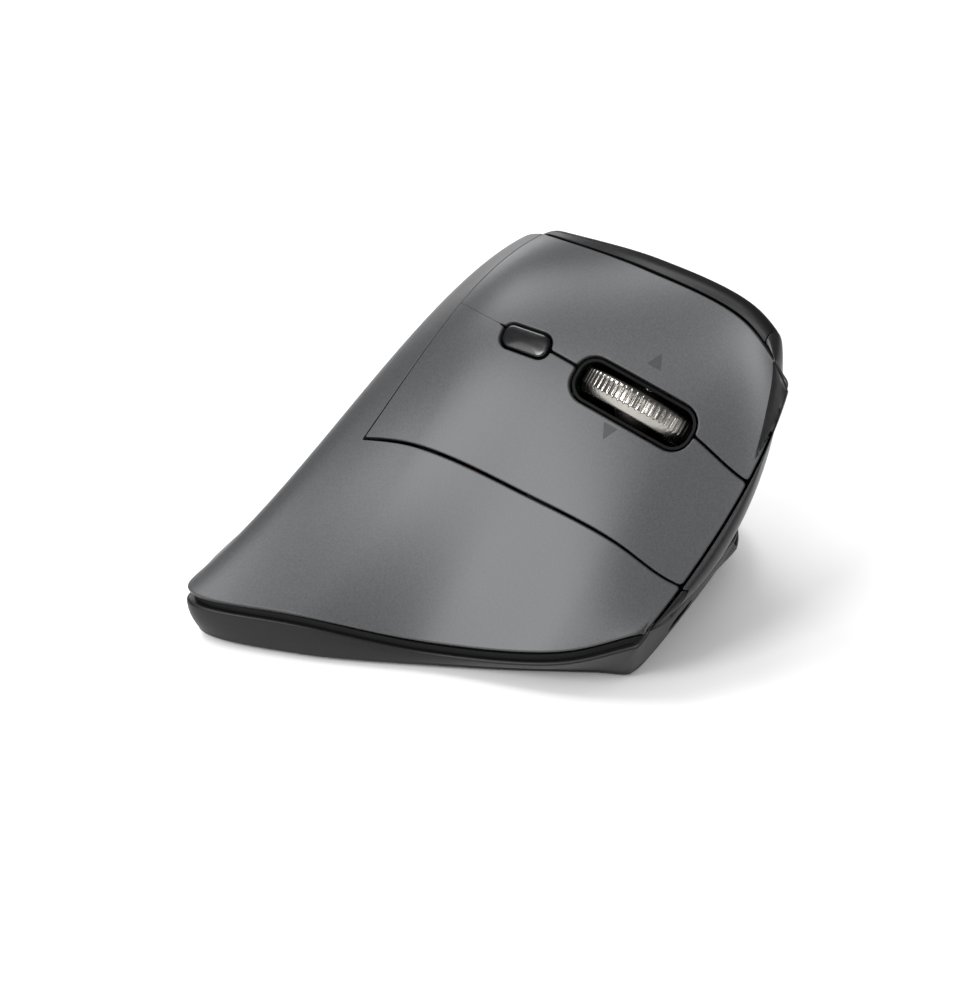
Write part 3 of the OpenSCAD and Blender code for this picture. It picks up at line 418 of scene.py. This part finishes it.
def half_outline(q, v_mid, side):
    """Part of a closed line on one side of v_mid, from its front crossing to its rear one."""
    keep = (q[:, 1] - v_mid) * side > 0
    start = [i for i in range(len(q)) if keep[i] and not keep[i - 1]][0]
    run = []
    i = start
    while keep[i % len(q)]:
        run.append(q[i % len(q)])
        i += 1

    def cross(a, b):
        t = (v_mid - a[1]) / (b[1] - a[1])
        return a + (b - a) * t
    run = [cross(q[start - 1], q[start])] + run + [cross(run[-1], q[i % len(q)])]
    run = np.array(run)
    return run if run[0, 0] < run[-1, 0] else run[::-1]


slot_xy = rounded(SLOT_L, SLOT_W, 0.42 * SLOT_W)
slot_q = hand_at(slot_xy[:, 0], slot_xy[:, 1])


def turned(q, angle):
    c, s = math.cos(math.radians(angle)), math.sin(math.radians(angle))
    return np.stack([q[..., 0] * c - q[..., 1] * s, q[..., 0] * s + q[..., 1] * c], -1)


dpi_w = DPI_W + 2 * KEY_GAP
dpi_xy = turned(rounded(DPI_L + 2 * KEY_GAP, dpi_w, DPI_CORNER * dpi_w), DPI_TURN)
dpi_q = hand_at(DPI_AT[0] + dpi_xy[:, 0], DPI_AT[1] + dpi_xy[:, 1] * math.cos(math.radians(DPI_TILT)))

REAR_GAP = HALF_S * 0.4
s_rear = KEY_REAR - REAR_GAP


def key_outline(side):
    h = HALF_V * 0.9
    v = MID + side * h
    v_hair = MID + side * HALF_V * 0.06
    far = 0 if side < 0 else LOW - HALF_V
    wheel_part, dpi_part = half_outline(slot_q, v, side), half_outline(dpi_q, v, side)
    segs = [line((0, far), (0, v)), line((0, v), (wheel_part[0, 0], v)), wheel_part,
            line((wheel_part[-1, 0], v), (dpi_part[0, 0], v)), dpi_part,
            line((dpi_part[-1, 0], v), (dpi_part[-1, 0] + 0.008, v_hair)),
            line((dpi_part[-1, 0] + 0.008, v_hair), (s_rear, v_hair)),
            line((s_rear, v_hair), (s_rear, far)), line((s_rear, far), (0, far))]
    return outline(hand, segs, [0.9, 0.7, 0.7, 0.6, 0.3, 0.2, 0.35, 0.5, 0.9],
                   [1.2, 0.9, 0.5, 0.8, 0.5, 0.5, 0.9, 1.2, 1.2])



def key_radius(s, v):
    """Edge radius of the keys: sharp where they meet behind the speed button and at the rear."""
    hair = ease(0, 0.012, s - dpi_q[:, 0].max()) * (1 - ease(0.02, 0.04, np.abs(v - MID)))
    rear = ease(-0.02, -0.006, s - s_rear)
    return mix(mix(0.32, 0.14, rear), 0.03, hair)


def top_radius(s, v):
    return mix(0.32, 0.14, 1 - ease(0.006, 0.02, np.abs(s - s_back)))


GRID = 1.1
left_key = shell("left_key_skin", hand, 1, [key_outline(-1)], wall_hand, key_radius, GRID)
right_key = shell("right_key_skin", hand, 1, [key_outline(1)], wall_hand, key_radius, GRID)

s_back = KEY_REAR + REAR_GAP
v_low = LOW + HALF_V
top_segs = [line((0, v_low), (0, 1)), line((0, 1), (1, 1), 300), line((1, 1), (1, 0)),
            line((1, 0), (s_back, 0), 200), line((s_back, 0), (s_back, v_low)),
            line((s_back, v_low), (0, v_low), 150)]
top = shell("top_shell_skin", hand, 1,
            [outline(hand, top_segs, [0.8, 1.2, 1.2, 0.5, 0.5, 0.8])], wall_hand, top_radius, GRID)

THUMB_ROW, THUMB_COLS, THUMB_SPLIT = (0.285, 0.36), (0.15, 0.435), 0.2925
hole = outline(thumb, [line((THUMB_COLS[0], THUMB_ROW[0]), (THUMB_COLS[1], THUMB_ROW[0])),
                       line((THUMB_COLS[1], THUMB_ROW[0]), (THUMB_COLS[1], THUMB_ROW[1])),
                       line((THUMB_COLS[1], THUMB_ROW[1]), (THUMB_COLS[0], THUMB_ROW[1])),
                       line((THUMB_COLS[0], THUMB_ROW[1]), (THUMB_COLS[0], THUMB_ROW[0]))],
               [1.6, 1.6, 1.6, 1.6], 0.8)
side_segs = [line((SIDE_FRONT, 0), (1, 0), 300), line((1, 0), (1, 1)),
             line((1, 1), (SIDE_FRONT, 1), 300), line((SIDE_FRONT, 1), (SIDE_FRONT, 0), 120)]
side = shell("thumb_shell_skin", thumb, -1,
             [outline(thumb, side_segs, [0.4, 0.6, 0.6, 0.3]), hole], wall_thumb, 0.15, GRID)


def thumb_key(name, s0, s1):
    a, b = THUMB_ROW[0] + 0.004, THUMB_ROW[1] - 0.004
    q = outline(thumb, [line((s0, a), (s1, a)), line((s1, a), (s1, b)), line((s1, b), (s0, b)),
                        line((s0, b), (s0, a))], [1.3, 1.3, 1.3, 1.3], 0.7)
    return shell(name, thumb, -1, [q], 2.2, 0.5, 1.0, lift=0.7)


forward = thumb_key("forward_key_cap", THUMB_COLS[0] + 0.004, THUMB_SPLIT - 0.002)
back = thumb_key("back_key_cap", THUMB_SPLIT + 0.002, THUMB_COLS[1] - 0.004)

CHIN_U, CHIN_HIGH, CHIN_LOW, U_END = 0.1, 0.64, 0.78, 1.013
nose_segs = [line((0.004, 0.02), (0.004, CHIN_HIGH)), line((0.004, CHIN_HIGH), (CHIN_U, CHIN_HIGH)),
             line((CHIN_U, CHIN_HIGH), (CHIN_U + 0.1, CHIN_LOW)),
             line((CHIN_U + 0.1, CHIN_LOW), (U_END, CHIN_LOW)), line((U_END, CHIN_LOW), (U_END, 0.01)),
             line((U_END, 0.01), (0.004, 0.01))]
panel = shell("front_panel_skin", nose, -1, [outline(nose, nose_segs, [0.5, 0.4, 0.6, 0.4, 0.4, 0.2],
                                                     0.7)], wall_nose, 0.12, 0.9, scale=(16, 90))

G = 0.004
chin_segs = [line((0.014, CHIN_HIGH + G), (0.014, 1.0)), line((0.014, 1.0), (U_END, 1.0)),
             line((U_END, 1.0), (U_END, CHIN_LOW + G)),
             line((U_END, CHIN_LOW + G), (CHIN_U + 0.09, CHIN_LOW + G)),
             line((CHIN_U + 0.09, CHIN_LOW + G), (CHIN_U - 0.012, CHIN_HIGH + G)),
             line((CHIN_U - 0.012, CHIN_HIGH + G), (0.014, CHIN_HIGH + G))]
chin = shell("nose_foot", nose, -1, [outline(nose, chin_segs, [0.4, 0.4, 0.4, 0.6, 0.4, 0.4], 0.7)],
             wall_nose, 0.16, 0.9, scale=(16, 90))

# ---------------------------------------------------------------- base and recessed band
BASE_MID = np.array([10.0, 0, 0])
N_LIP, N_SIDE, N_NOSE = 200, 150, 40
t_lip, t_side = np.linspace(0, 1, N_LIP), np.linspace(1, SIDE_FRONT, N_SIDE)
t_nose = np.linspace(1, 0, N_NOSE + 2)[1:-1]
tip_v = np.linspace(1, 0, 14)[1:]
one = np.ones_like
rim = np.vstack([along(LIP, t_lip), hand(one(tip_v), tip_v), thumb(t_side, one(t_side)),
                 nose(t_nose, one(t_nose))])
f_side = (1 - t_side) / (1 - SIDE_FRONT)
tuck = np.concatenate([along(TUCK, t_lip), np.full(len(tip_v), 0.05),
                       mix(0.05, 0.08, ease(0.6, 1, f_side)), mix(0.08, 0.11, 1 - t_nose)])
nose_w = np.concatenate([np.zeros(N_LIP + len(tip_v) + N_SIDE), np.ones(N_NOSE)])


def soften(a, n=5):
    k = np.ones(2 * n + 1) / (2 * n + 1)
    return np.convolve(np.concatenate([a[-n:], a, a[:n]]), k, "valid")


def soft_loop(p, n=3):
    return np.stack([soften(p[:, i], n) for i in range(3)], -1)


rim = soft_loop(rim, 2)
tuck, nose_w = soften(tuck, 8), soften(nose_w, 2)
FOOT_Z, BASE_TOP, FLOOR_T = 0.9, -2.5, 1.8


def pulled(k, z):
    p = rim.copy()
    p[:, :2] = mix(rim[:, :2], BASE_MID[:2], np.broadcast_to(k, len(rim))[:, None])
    p[:, 2] = z
    return p


def rings_mesh(name, rings, closed=False, caps=True):
    m, n = len(rings), len(rings[0])
    faces = []
    for k in range(m if closed else m - 1):
        for i in range(n):
            j = (i + 1) % n
            faces.append((k * n + i, k * n + j, (k + 1) % m * n + j, (k + 1) % m * n + i))
    if not closed and caps:
        faces += [tuple(range(n))[::-1], tuple(range((m - 1) * n, m * n))]
    o = make(name, np.vstack(rings), faces)
    me = o.data
    v = np.zeros(len(me.vertices) * 3)
    me.vertices.foreach_get("co", v)
    v = v.reshape(-1, 3)
    me.calc_loop_triangles()
    t = np.array([x.vertices[:] for x in me.loop_triangles])
    if volume(v, t) < 0:
        me.flip_normals()
    return o


def sharp(o, deg):
    o.data.set_sharp_from_angle(angle=math.radians(deg))


def boolean(o, cutters):
    """Cuts the closed cutters out of o and removes them."""
    for c in cutters:
        m = o.modifiers.new("cut", "BOOLEAN")
        m.operation, m.solver, m.object = "DIFFERENCE", "EXACT", c
    bpy.context.view_layer.update()
    done = bpy.data.meshes.new_from_object(o.evaluated_get(bpy.context.evaluated_depsgraph_get()))
    o.modifiers.clear()
    o.data = done
    for c in cutters:
        bpy.data.objects.remove(c)


top_z = rim[:, 2] + mix(BASE_TOP, 0.35, nose_w)
steps_up = np.linspace(0, math.pi / 2, 6)
round_top = [(mix(0.012, 0.002, nose_w) * (1 - math.cos(a)) * 0 + 0.012 * (1 - math.cos(a)), math.sin(a))
             for a in steps_up]
outer_k = mix(-0.004, 0.0, nose_w)


def wall_ring(f, extra=0.0):
    """Outer wall between the top edge (f 0) and the foot (f 1), with a slight belly."""
    z0, z1 = top_z - 0.55, np.full(len(rim), 1.7)
    k = mix(outer_k, tuck, f) - 0.012 * f * (1 - f) * 4 * 0.6
    return pulled(k + extra, mix(z0, z1, f))


base_rings = [pulled(0.07, FOOT_Z + FLOOR_T), pulled(0.065, mix(FOOT_Z + FLOOR_T, top_z, 0.5)),
              pulled(0.05, top_z)]
for k, s in round_top[::-1]:
    base_rings.append(pulled(outer_k + 0.012 * (1 - math.sqrt(max(0, 1 - s * s))), top_z - 0.55 * (1 - s)))
base_rings += [wall_ring(f) for f in (0.12, 0.3, 0.5, 0.7, 0.88, 1.0)]
for a in np.linspace(0.25, 1, 4) * math.pi / 2:
    base_rings.append(pulled(tuck + 0.014 * (1 - math.cos(a)), 1.7 - 0.8 * math.sin(a)))
base_rings[0], base_rings[1] = (pulled(tuck + 0.045, FOOT_Z + FLOOR_T),
                                mix(pulled(tuck + 0.045, FOOT_Z + FLOOR_T), pulled(0.05, top_z), 0.5))
base = rings_mesh("base_tray", base_rings)


def prism(name, xy, z0, z1, place=None):
    """Closed prism over a plane outline; place maps its points to the station frame."""
    n = len(xy)
    v = np.vstack([np.column_stack([xy, np.full(n, z)]) for z in (z0, z1)])
    if place is not None:
        v = place(v)
    return make(name, v, [tuple(range(n))[::-1], tuple(range(n, 2 * n))]
                + [(i, (i + 1) % n, n + (i + 1) % n, n + i) for i in range(n)])


def circle(x, y, r, n=40):
    a = np.linspace(0, 2 * math.pi, n, endpoint=False)
    return np.stack([x + r * np.cos(a), y + r * np.sin(a)], -1)


def rect(x, y, w, h, c=0.4):
    return rounded(h, w, c, 5) + [x, y]


BASE_SCREWS = ([hand(np.array(s), np.array(v)) for s, v in ((0.52, 0.8), (0.24, 0.86))]
               + [thumb(np.array(s), np.array(w)) for s, w in ((0.28, 0.86), (0.66, 0.82))])
FEET = [[14, 31, 22, 6], [-22, -4, 6, 24], [50, -18, 6, 18], [14, -35, 24, 5]]
USB, USB_TURN = np.array([9.2, 37.6, 5.6]), math.radians(16)


def usb_place(v):
    """The port's plane: x across, y up, z towards the middle of the body."""
    c, s = math.cos(USB_TURN), math.sin(USB_TURN)
    return np.stack([USB[0] + v[:, 0] * c + v[:, 2] * s, USB[1] + v[:, 0] * s - v[:, 2] * c,
                     USB[2] + v[:, 1]], -1)


cutters = [prism("cut_s%d" % i, circle(p[0], p[1], 3.2), 0, 3) for i, p in enumerate(BASE_SCREWS)]
cutters += [prism("cut_h%d" % i, circle(p[0], p[1], 1.3), 2.5, 9) for i, p in enumerate(BASE_SCREWS)]
cutters += [prism("cut_f%d" % i, rect(q[0], q[1], q[2] + 0.4, q[3] + 0.4), 0, 1.1)
            for i, q in enumerate(FEET)]
cutters += [prism("cut_sensor", rect(12, 6, 8, 7), 0, 4), prism("cut_power", rect(-8, -6, 4, 9), 0, 4),
            prism("cut_pair", circle(-8, -17.5, 2.65), 0, 4),
            prism("cut_usb", rounded(3.6, 9.4, 1.79, 12), -14, 5, usb_place)]
boolean(base, cutters)
sharp(base, 32)

# ---------------------------------------------------------------- pointer-speed button
def tilt_place(v):
    c, s = math.cos(math.radians(DPI_TILT)), math.sin(math.radians(DPI_TILT))
    xy = turned(v[..., :2], DPI_TURN)
    y, z = xy[..., 1] * c - v[..., 2] * s, xy[..., 1] * s + v[..., 2] * c
    return from_deck(DPI_AT + np.stack([xy[..., 0], y, z], -1))


def capped(name, l, w, c, z0, z1, r, crown, place, n=12):
    """Button with a rounded top edge and a slightly domed face."""
    rings = []
    for z, inset in [(z0, 0.0), (mix(z0, z1, 0.5), 0.0)]:
        q = rounded(l - 2 * inset, w - 2 * inset, c, n)
        rings.append(np.column_stack([q, np.full(len(q), z)]))
    base_q = rounded(l, w, c, n)
    nrm = unit(np.roll(base_q, -1, 0) - np.roll(base_q, 1, 0))
    nrm = np.stack([nrm[:, 1], -nrm[:, 0]], -1)
    if np.sum(nrm * base_q) < 0:
        nrm = -nrm
    for a in np.linspace(0, math.pi / 2, 6):
        q = base_q - nrm * r * (1 - math.cos(a))
        rings.append(np.column_stack([q, np.full(len(q), z1 - r + r * math.sin(a))]))
    last = rings[-1][:, :2]
    for f in (0.85, 0.65, 0.4, 0.15):
        rings.append(np.column_stack([last * f, np.full(len(last), z1 + crown * (1 - f * f))]))
    return rings_mesh(name, [place(x) for x in rings])


dpi = capped("speed_key_cap", DPI_L, DPI_W, DPI_CORNER * DPI_W, -3.1, 0.5, 0.45, 0.12, tilt_place)
sharp(dpi, 50)

# ---------------------------------------------------------------- scroll wheel
WHEEL_D, WHEEL_UP, RIBS, PER_RIB = 24, 4.5, 60, 12
AXLE_Z = WHEEL_UP - WHEEL_D / 2


def wheel_ring(x, r, depth):
    a = np.linspace(0, 2 * math.pi, RIBS * PER_RIB, endpoint=False)
    w = 0.5 - 0.5 * np.cos(a * RIBS)
    rr = r - 0.8 * depth * ease(0.6, 1.0, w)
    return from_deck(np.stack([np.full_like(a, x), rr * np.sin(a), AXLE_Z + rr * np.cos(a)], -1))


R = WHEEL_D / 2
profile = [(-1.9, R - 2.15, 0), (-2.3, R - 2.1, 0), (-2.46, R - 1.9, 0), (-2.5, R - 1.55, 0),
           (-2.44, R - 1.2, 0), (-2.36, R - 0.82, 0), (-2.25, R - 0.42, 0), (-2.1, R - 0.16, 0.04),
           (-1.9, R - 0.03, 0.16), (-1.3, R, 0.2), (-0.4, R, 0.2), (0.6, R - 0.02, 0.2),
           (0.9, R - 0.08, 0.12), (1.1, R - 0.2, 0), (1.7, R - 0.62, 0), (2.2, R - 1.02, 0),
           (2.42, R - 1.25, 0), (2.5, R - 1.55, 0), (2.46, R - 1.9, 0), (2.3, R - 2.1, 0),
           (1.9, R - 2.15, 0)]
wheel = rings_mesh("wheel_tread", [wheel_ring(*q) for q in profile], closed=True)
sharp(wheel, 70)


def ring_at(x, r, n=96):
    a = np.linspace(0, 2 * math.pi, n, endpoint=False)
    return from_deck(np.stack([np.full_like(a, x), r * np.sin(a), AXLE_Z + r * np.cos(a)], -1))


hub_side = [(2.2, R - 2.2), (2.2, R - 2.8), (2.15, 8.0), (2.0, 7.2), (1.4, 6.6), (1.3, 4.8),
            (1.7, 4.1), (2.2, 3.9), (3.4, 3.1), (3.7, 2.7), (3.7, 1.27)]
hub_profile = hub_side + [(-x, r) for x, r in hub_side[::-1]]
hub = rings_mesh("wheel_disc", [ring_at(*q) for q in hub_profile], closed=True)
sharp(hub, 35)


# ---------------------------------------------------------------- recessed band under the lip: its own black plus painted shade of the gap there
n_band = N_LIP + len(tip_v) + N_SIDE
tip_i = np.abs(np.arange(n_band) - N_LIP - len(tip_v) / 2) / (N_LIP / 7)
tip_k = 0.035 * np.maximum(0, 1 - tip_i)


def band_ring(k, dz):
    p = rim[:n_band].copy()
    p[:, :2] = mix(p[:, :2], BASE_MID[:2], (k + tip_k)[:, None])
    p[:, 2] += dz
    return p


BAND_TOP, BAND_H = -1.2, 1.2
corners = [band_ring(k, z) for k, z in ((0.02, BAND_TOP - BAND_H), (0.058, BAND_TOP - BAND_H),
                                        (0.058, BAND_TOP), (0.02, BAND_TOP))]
strip = np.stack(corners, 1)
band = rings_mesh("rim_recess_painted_shade", list(strip))
sharp(band, 40)


# ---------------------------------------------------------------- printed arrows on the keys
def arrow(name, s, v, size, way):
    q0 = np.array([[s, v]])
    p, n, pa, pb = frame_at(hand, q0, 1)
    x = DECK[:, 0] * way
    x = x - n[0] * (x @ n[0])
    x /= np.linalg.norm(x)
    y = np.cross(n[0], x)
    tri = [x * size * 0.5, -x * size * 0.5 + y * size * 0.5, -x * size * 0.5 - y * size * 0.5]
    g = np.array([[pa[0] @ pa[0], pa[0] @ pb[0]], [pa[0] @ pb[0], pb[0] @ pb[0]]])
    pts = [q0[0] + np.linalg.solve(g, [pa[0] @ d, pb[0] @ d]) for d in tri]
    segs = [line(pts[i], pts[(i + 1) % 3]) for i in range(3)]
    return shell(name, hand, 1, [outline(hand, segs, [0.3, 0.3, 0.3], 0.3)], 0.3, 0.02, 0.5,
                 lift=0.02, arcs=1)


T, E = math.radians(40.3), math.radians(32.6)
RIGHT = np.array([-math.sin(T), math.cos(T), 0])
BACK = np.array([math.cos(E) * math.cos(T), math.cos(E) * math.sin(T), math.sin(E)])
VIEW_UP = np.cross(BACK, RIGHT)
C0 = np.array([4.95, -0.70, 30.0])
RIGHT_ARROW_AT, LEFT_ARROW_AT, ARROW_SIZE = (0.188, 0.392), (0.18, 0.174), 3.0
mark_r = arrow("arrow_right_key", *RIGHT_ARROW_AT, ARROW_SIZE, 1)
mark_l = arrow("arrow_left_key", *LEFT_ARROW_AT, ARROW_SIZE, -1)


# ---------------------------------------------------------------- materials
def material(name, base, rough, metal=0.0, coat=0.0, grain=0.0, bump=0.0, scale=1500.0, spec=0.5,
             stretch=(1, 1, 1), tint=None, clear=0.0, alpha=1.0):
    m = bpy.data.materials.new(name)
    m.use_nodes = True
    nt = m.node_tree
    p = nt.nodes["Principled BSDF"]
    p.inputs["Metallic"].default_value = metal
    p.inputs["Specular IOR Level"].default_value = spec
    p.inputs["Coat Weight"].default_value = coat
    p.inputs["Coat Roughness"].default_value = 0.08
    p.inputs["Transmission Weight"].default_value = clear
    tc = nt.nodes.new("ShaderNodeTexCoord")
    mp = nt.nodes.new("ShaderNodeMapping")
    mp.inputs["Scale"].default_value = stretch
    nt.links.new(tc.outputs["Object"], mp.inputs["Vector"])
    no = nt.nodes.new("ShaderNodeTexNoise")
    no.inputs["Scale"].default_value = scale
    no.inputs["Detail"].default_value = 3
    nt.links.new(mp.outputs["Vector"], no.inputs["Vector"])
    ramp = nt.nodes.new("ShaderNodeValToRGB")
    lo, hi = np.array(base) * (1 - grain), np.array(tint if tint else base) * (1 + grain)
    ramp.color_ramp.elements[0].position, ramp.color_ramp.elements[1].position = 0.35, 0.65
    ramp.color_ramp.elements[0].color = (*lo, 1)
    ramp.color_ramp.elements[1].color = (*np.minimum(hi, 1), 1)
    nt.links.new(no.outputs["Fac"], ramp.inputs["Fac"])
    nt.links.new(ramp.outputs["Color"], p.inputs["Base Color"])
    mr = nt.nodes.new("ShaderNodeMapRange")
    mr.inputs["To Min"].default_value, mr.inputs["To Max"].default_value = rough * 0.9, rough * 1.1
    nt.links.new(no.outputs["Fac"], mr.inputs["Value"])
    nt.links.new(mr.outputs["Result"], p.inputs["Roughness"])
    if bump:
        b = nt.nodes.new("ShaderNodeBump")
        b.inputs["Strength"].default_value = bump
        b.inputs["Distance"].default_value = 0.00004
        nt.links.new(no.outputs["Fac"], b.inputs["Height"])
        nt.links.new(b.outputs["Normal"], p.inputs["Normal"])
    return m


grey = (0.068, 0.069, 0.0715)
LOOK = {
    "shell_grey": material("satin_grey", grey, 0.44, metal=0.5, grain=0.1, bump=0.12, scale=2600),
    "arrow_grey": material("arrow_grey", (0.032, 0.033, 0.035), 0.5, metal=0.2, grain=0.1, scale=2600),
    "body_black": material("matt_black", (0.006, 0.006, 0.0065), 0.42, spec=0.3, grain=0.15,
                           bump=0.25, scale=1800),
    "nose_black": material("nose_black", (0.011, 0.011, 0.012), 0.36, grain=0.15, bump=0.2, scale=1800),
    "gloss_black": material("gloss_black", (0.004, 0.004, 0.005), 0.2, coat=0.1, grain=0.1),
    "wheel_metal": material("wheel_metal", (0.36, 0.345, 0.32), 0.24, metal=1, grain=0.04, scale=900),
    "wheel_side": material("wheel_side", (0.66, 0.64, 0.61), 0.28, metal=1, grain=0.1, scale=700),
    "steel": material("steel", (0.5, 0.5, 0.52), 0.28, metal=1, grain=0.08, scale=900),
    "inner_black": material("inner_black", (0.004, 0.004, 0.004), 0.7, spec=0.2, grain=0.15, bump=0.15),
    "inner_white": material("inner_white", (0.75, 0.75, 0.73), 0.45, grain=0.03),
    "circuit_board": material("circuit_board", (0.01, 0.11, 0.05), 0.35, grain=0.3, scale=400,
                              tint=(0.015, 0.16, 0.075)),
    "lens_clear": material("lens_clear", (0.9, 0.93, 0.96), 0.05, grain=0.02, clear=0.85),
    "cell_foil": material("cell_foil", (0.6, 0.61, 0.63), 0.32, metal=0.9, grain=0.08, bump=0.3, scale=300),
    "wire": material("wire", (0.35, 0.02, 0.02), 0.4, grain=0.1),
    "cable_film": material("cable_film", (0.02, 0.018, 0.016), 0.35, grain=0.15,
                           stretch=(1, 30, 1), scale=120),
    "glide": material("glide", (0.62, 0.62, 0.6), 0.35, grain=0.05),
}


def wear(o, look):
    o.data.materials.clear()
    o.data.materials.append(LOOK[look])


PIECES = [
    (left_key, "left_key", ["left_button"], "shell_grey", "shell_grey"),
    (right_key, "right_key", ["right_button"], "shell_grey", "shell_grey"),
    (top, "body", ["top_shell"], "shell_grey", "shell_grey"),
    (mark_l, "left_key", [], "shell_grey", "arrow_grey"),
    (mark_r, "right_key", [], "shell_grey", "arrow_grey"),
    (side, "body", ["thumb_shell"], "body_black", "body_black"),
    (forward, "forward_key", ["forward_button"], "gloss_black", "gloss_black"),
    (back, "back_key", ["back_button"], "gloss_black", "gloss_black"),
    (panel, "body", ["front_panel"], "body_black", "nose_black"),
    (base, "body", ["base_shell"], "body_black", "body_black"),
    (chin, "body", [], "body_black", "body_black"),
    # the band wears the darkest matt black, darker than the body: painted shade of the gap under the lip on
    # top of its own black
    (band, "body", ["rim_band"], "inner_black", "inner_black"),
    (dpi, "dpi_key", ["dpi_button"], "gloss_black", "gloss_black"),
    (wheel, "wheel", ["wheel_rim"], "wheel_metal", "wheel_metal"),
    (hub, "wheel", ["wheel_hub"], "wheel_metal", "wheel_side"),
]
for o, body, nodes, slot, look in PIECES:
    wear(o, look)
    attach(o, body)
    if nodes:
        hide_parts(*nodes)
slots = {}
for m in frame["record"]["subparts"]:
    slots[m["node"]] = m["material_slot"]
replaced = {n for _, _, ns, _, _ in PIECES for n in ns}
for n, o in frame["nodes"].items():
    if n not in replaced:
        wear(o, slots.get(n, "inner_black"))

# ---------------------------------------------------------------- floor, light and camera
def plane(name, size, z):
    m = bpy.data.meshes.new(name)
    corners = [(-size, -size, z), (size, -size, z), (size, size, z), (-size, size, z)]
    m.from_pydata(corners, [], [(0, 1, 2, 3)])
    o = bpy.data.objects.new(name, m)
    bpy.context.scene.collection.objects.link(o)
    return o


floor = plane("floor", 3.0, 0.0)
floor.data.materials.append(material("pale_floor", (0.82, 0.82, 0.82), 0.6, grain=0.01, scale=40))
SKY_SOFT, SKY_SHINE = 0.95, 0.14
scene = bpy.context.scene
scene.view_settings.view_transform = "Standard"
world = bpy.data.worlds.new("studio")
scene.world = world
world.use_nodes = True
wt = world.node_tree
sky = wt.nodes["Background"]
sky.inputs["Color"].default_value = (1, 1, 1, 1)
path = wt.nodes.new("ShaderNodeLightPath")
dim = wt.nodes.new("ShaderNodeMapRange")
dim.inputs["To Min"].default_value, dim.inputs["To Max"].default_value = SKY_SOFT, SKY_SHINE
wt.links.new(path.outputs["Is Glossy Ray"], dim.inputs["Value"])
wt.links.new(dim.outputs["Result"], sky.inputs["Strength"])


def lamp(name, az, el, far, w, h, power):
    d = bpy.data.lights.new(name, "AREA")
    d.shape, d.size, d.size_y, d.energy = "RECTANGLE", w, h, power
    o = bpy.data.objects.new(name, d)
    bpy.context.scene.collection.objects.link(o)
    a, e = math.radians(az), math.radians(el)
    way = Vector((math.cos(e) * math.cos(a), math.cos(e) * math.sin(a), math.sin(e)))
    o.location = Vector((0, 0, 0.035)) + way * far
    o.rotation_euler = (-way).to_track_quat("-Z", "Y").to_euler()
    return o


lamp("key_box", -4, 33, 0.5, 0.16, 0.2, 1.6)
lamp("top_box", -70, 62, 0.6, 0.3, 0.25, 2.0)
lamp("left_box", -120, 18, 0.6, 0.3, 0.15, 0.9)
lamp("front_strip", 52, 24, 0.6, 0.05, 0.3, 0.4)

look_at = C0 - MIDDLE - 6.4 * RIGHT - 14.8 * VIEW_UP
cam_data = bpy.data.cameras.new("camera")
cam_data.lens, cam_data.sensor_width, cam_data.sensor_fit = 111.9, 36, "AUTO"
cam = bpy.data.objects.new("camera", cam_data)
scene.collection.objects.link(cam)
cam.location = Vector((look_at + 600 * BACK) * MM)
cam.rotation_euler = Vector(-BACK).to_track_quat("-Z", "Y").to_euler()
scene.camera = cam

# Clamp the points of every new piece into the box that the imported parts fill. Nothing
# shown may reach outside the imported parts
lo, hi = np.array(box_before[0]), np.array(box_before[1])
for o, _, _, _, _ in PIECES:
    co = np.zeros(len(o.data.vertices) * 3)
    o.data.vertices.foreach_get("co", co)
    o.data.vertices.foreach_set("co", np.clip(co.reshape(-1, 3), lo, hi).ravel())
    o.data.update()
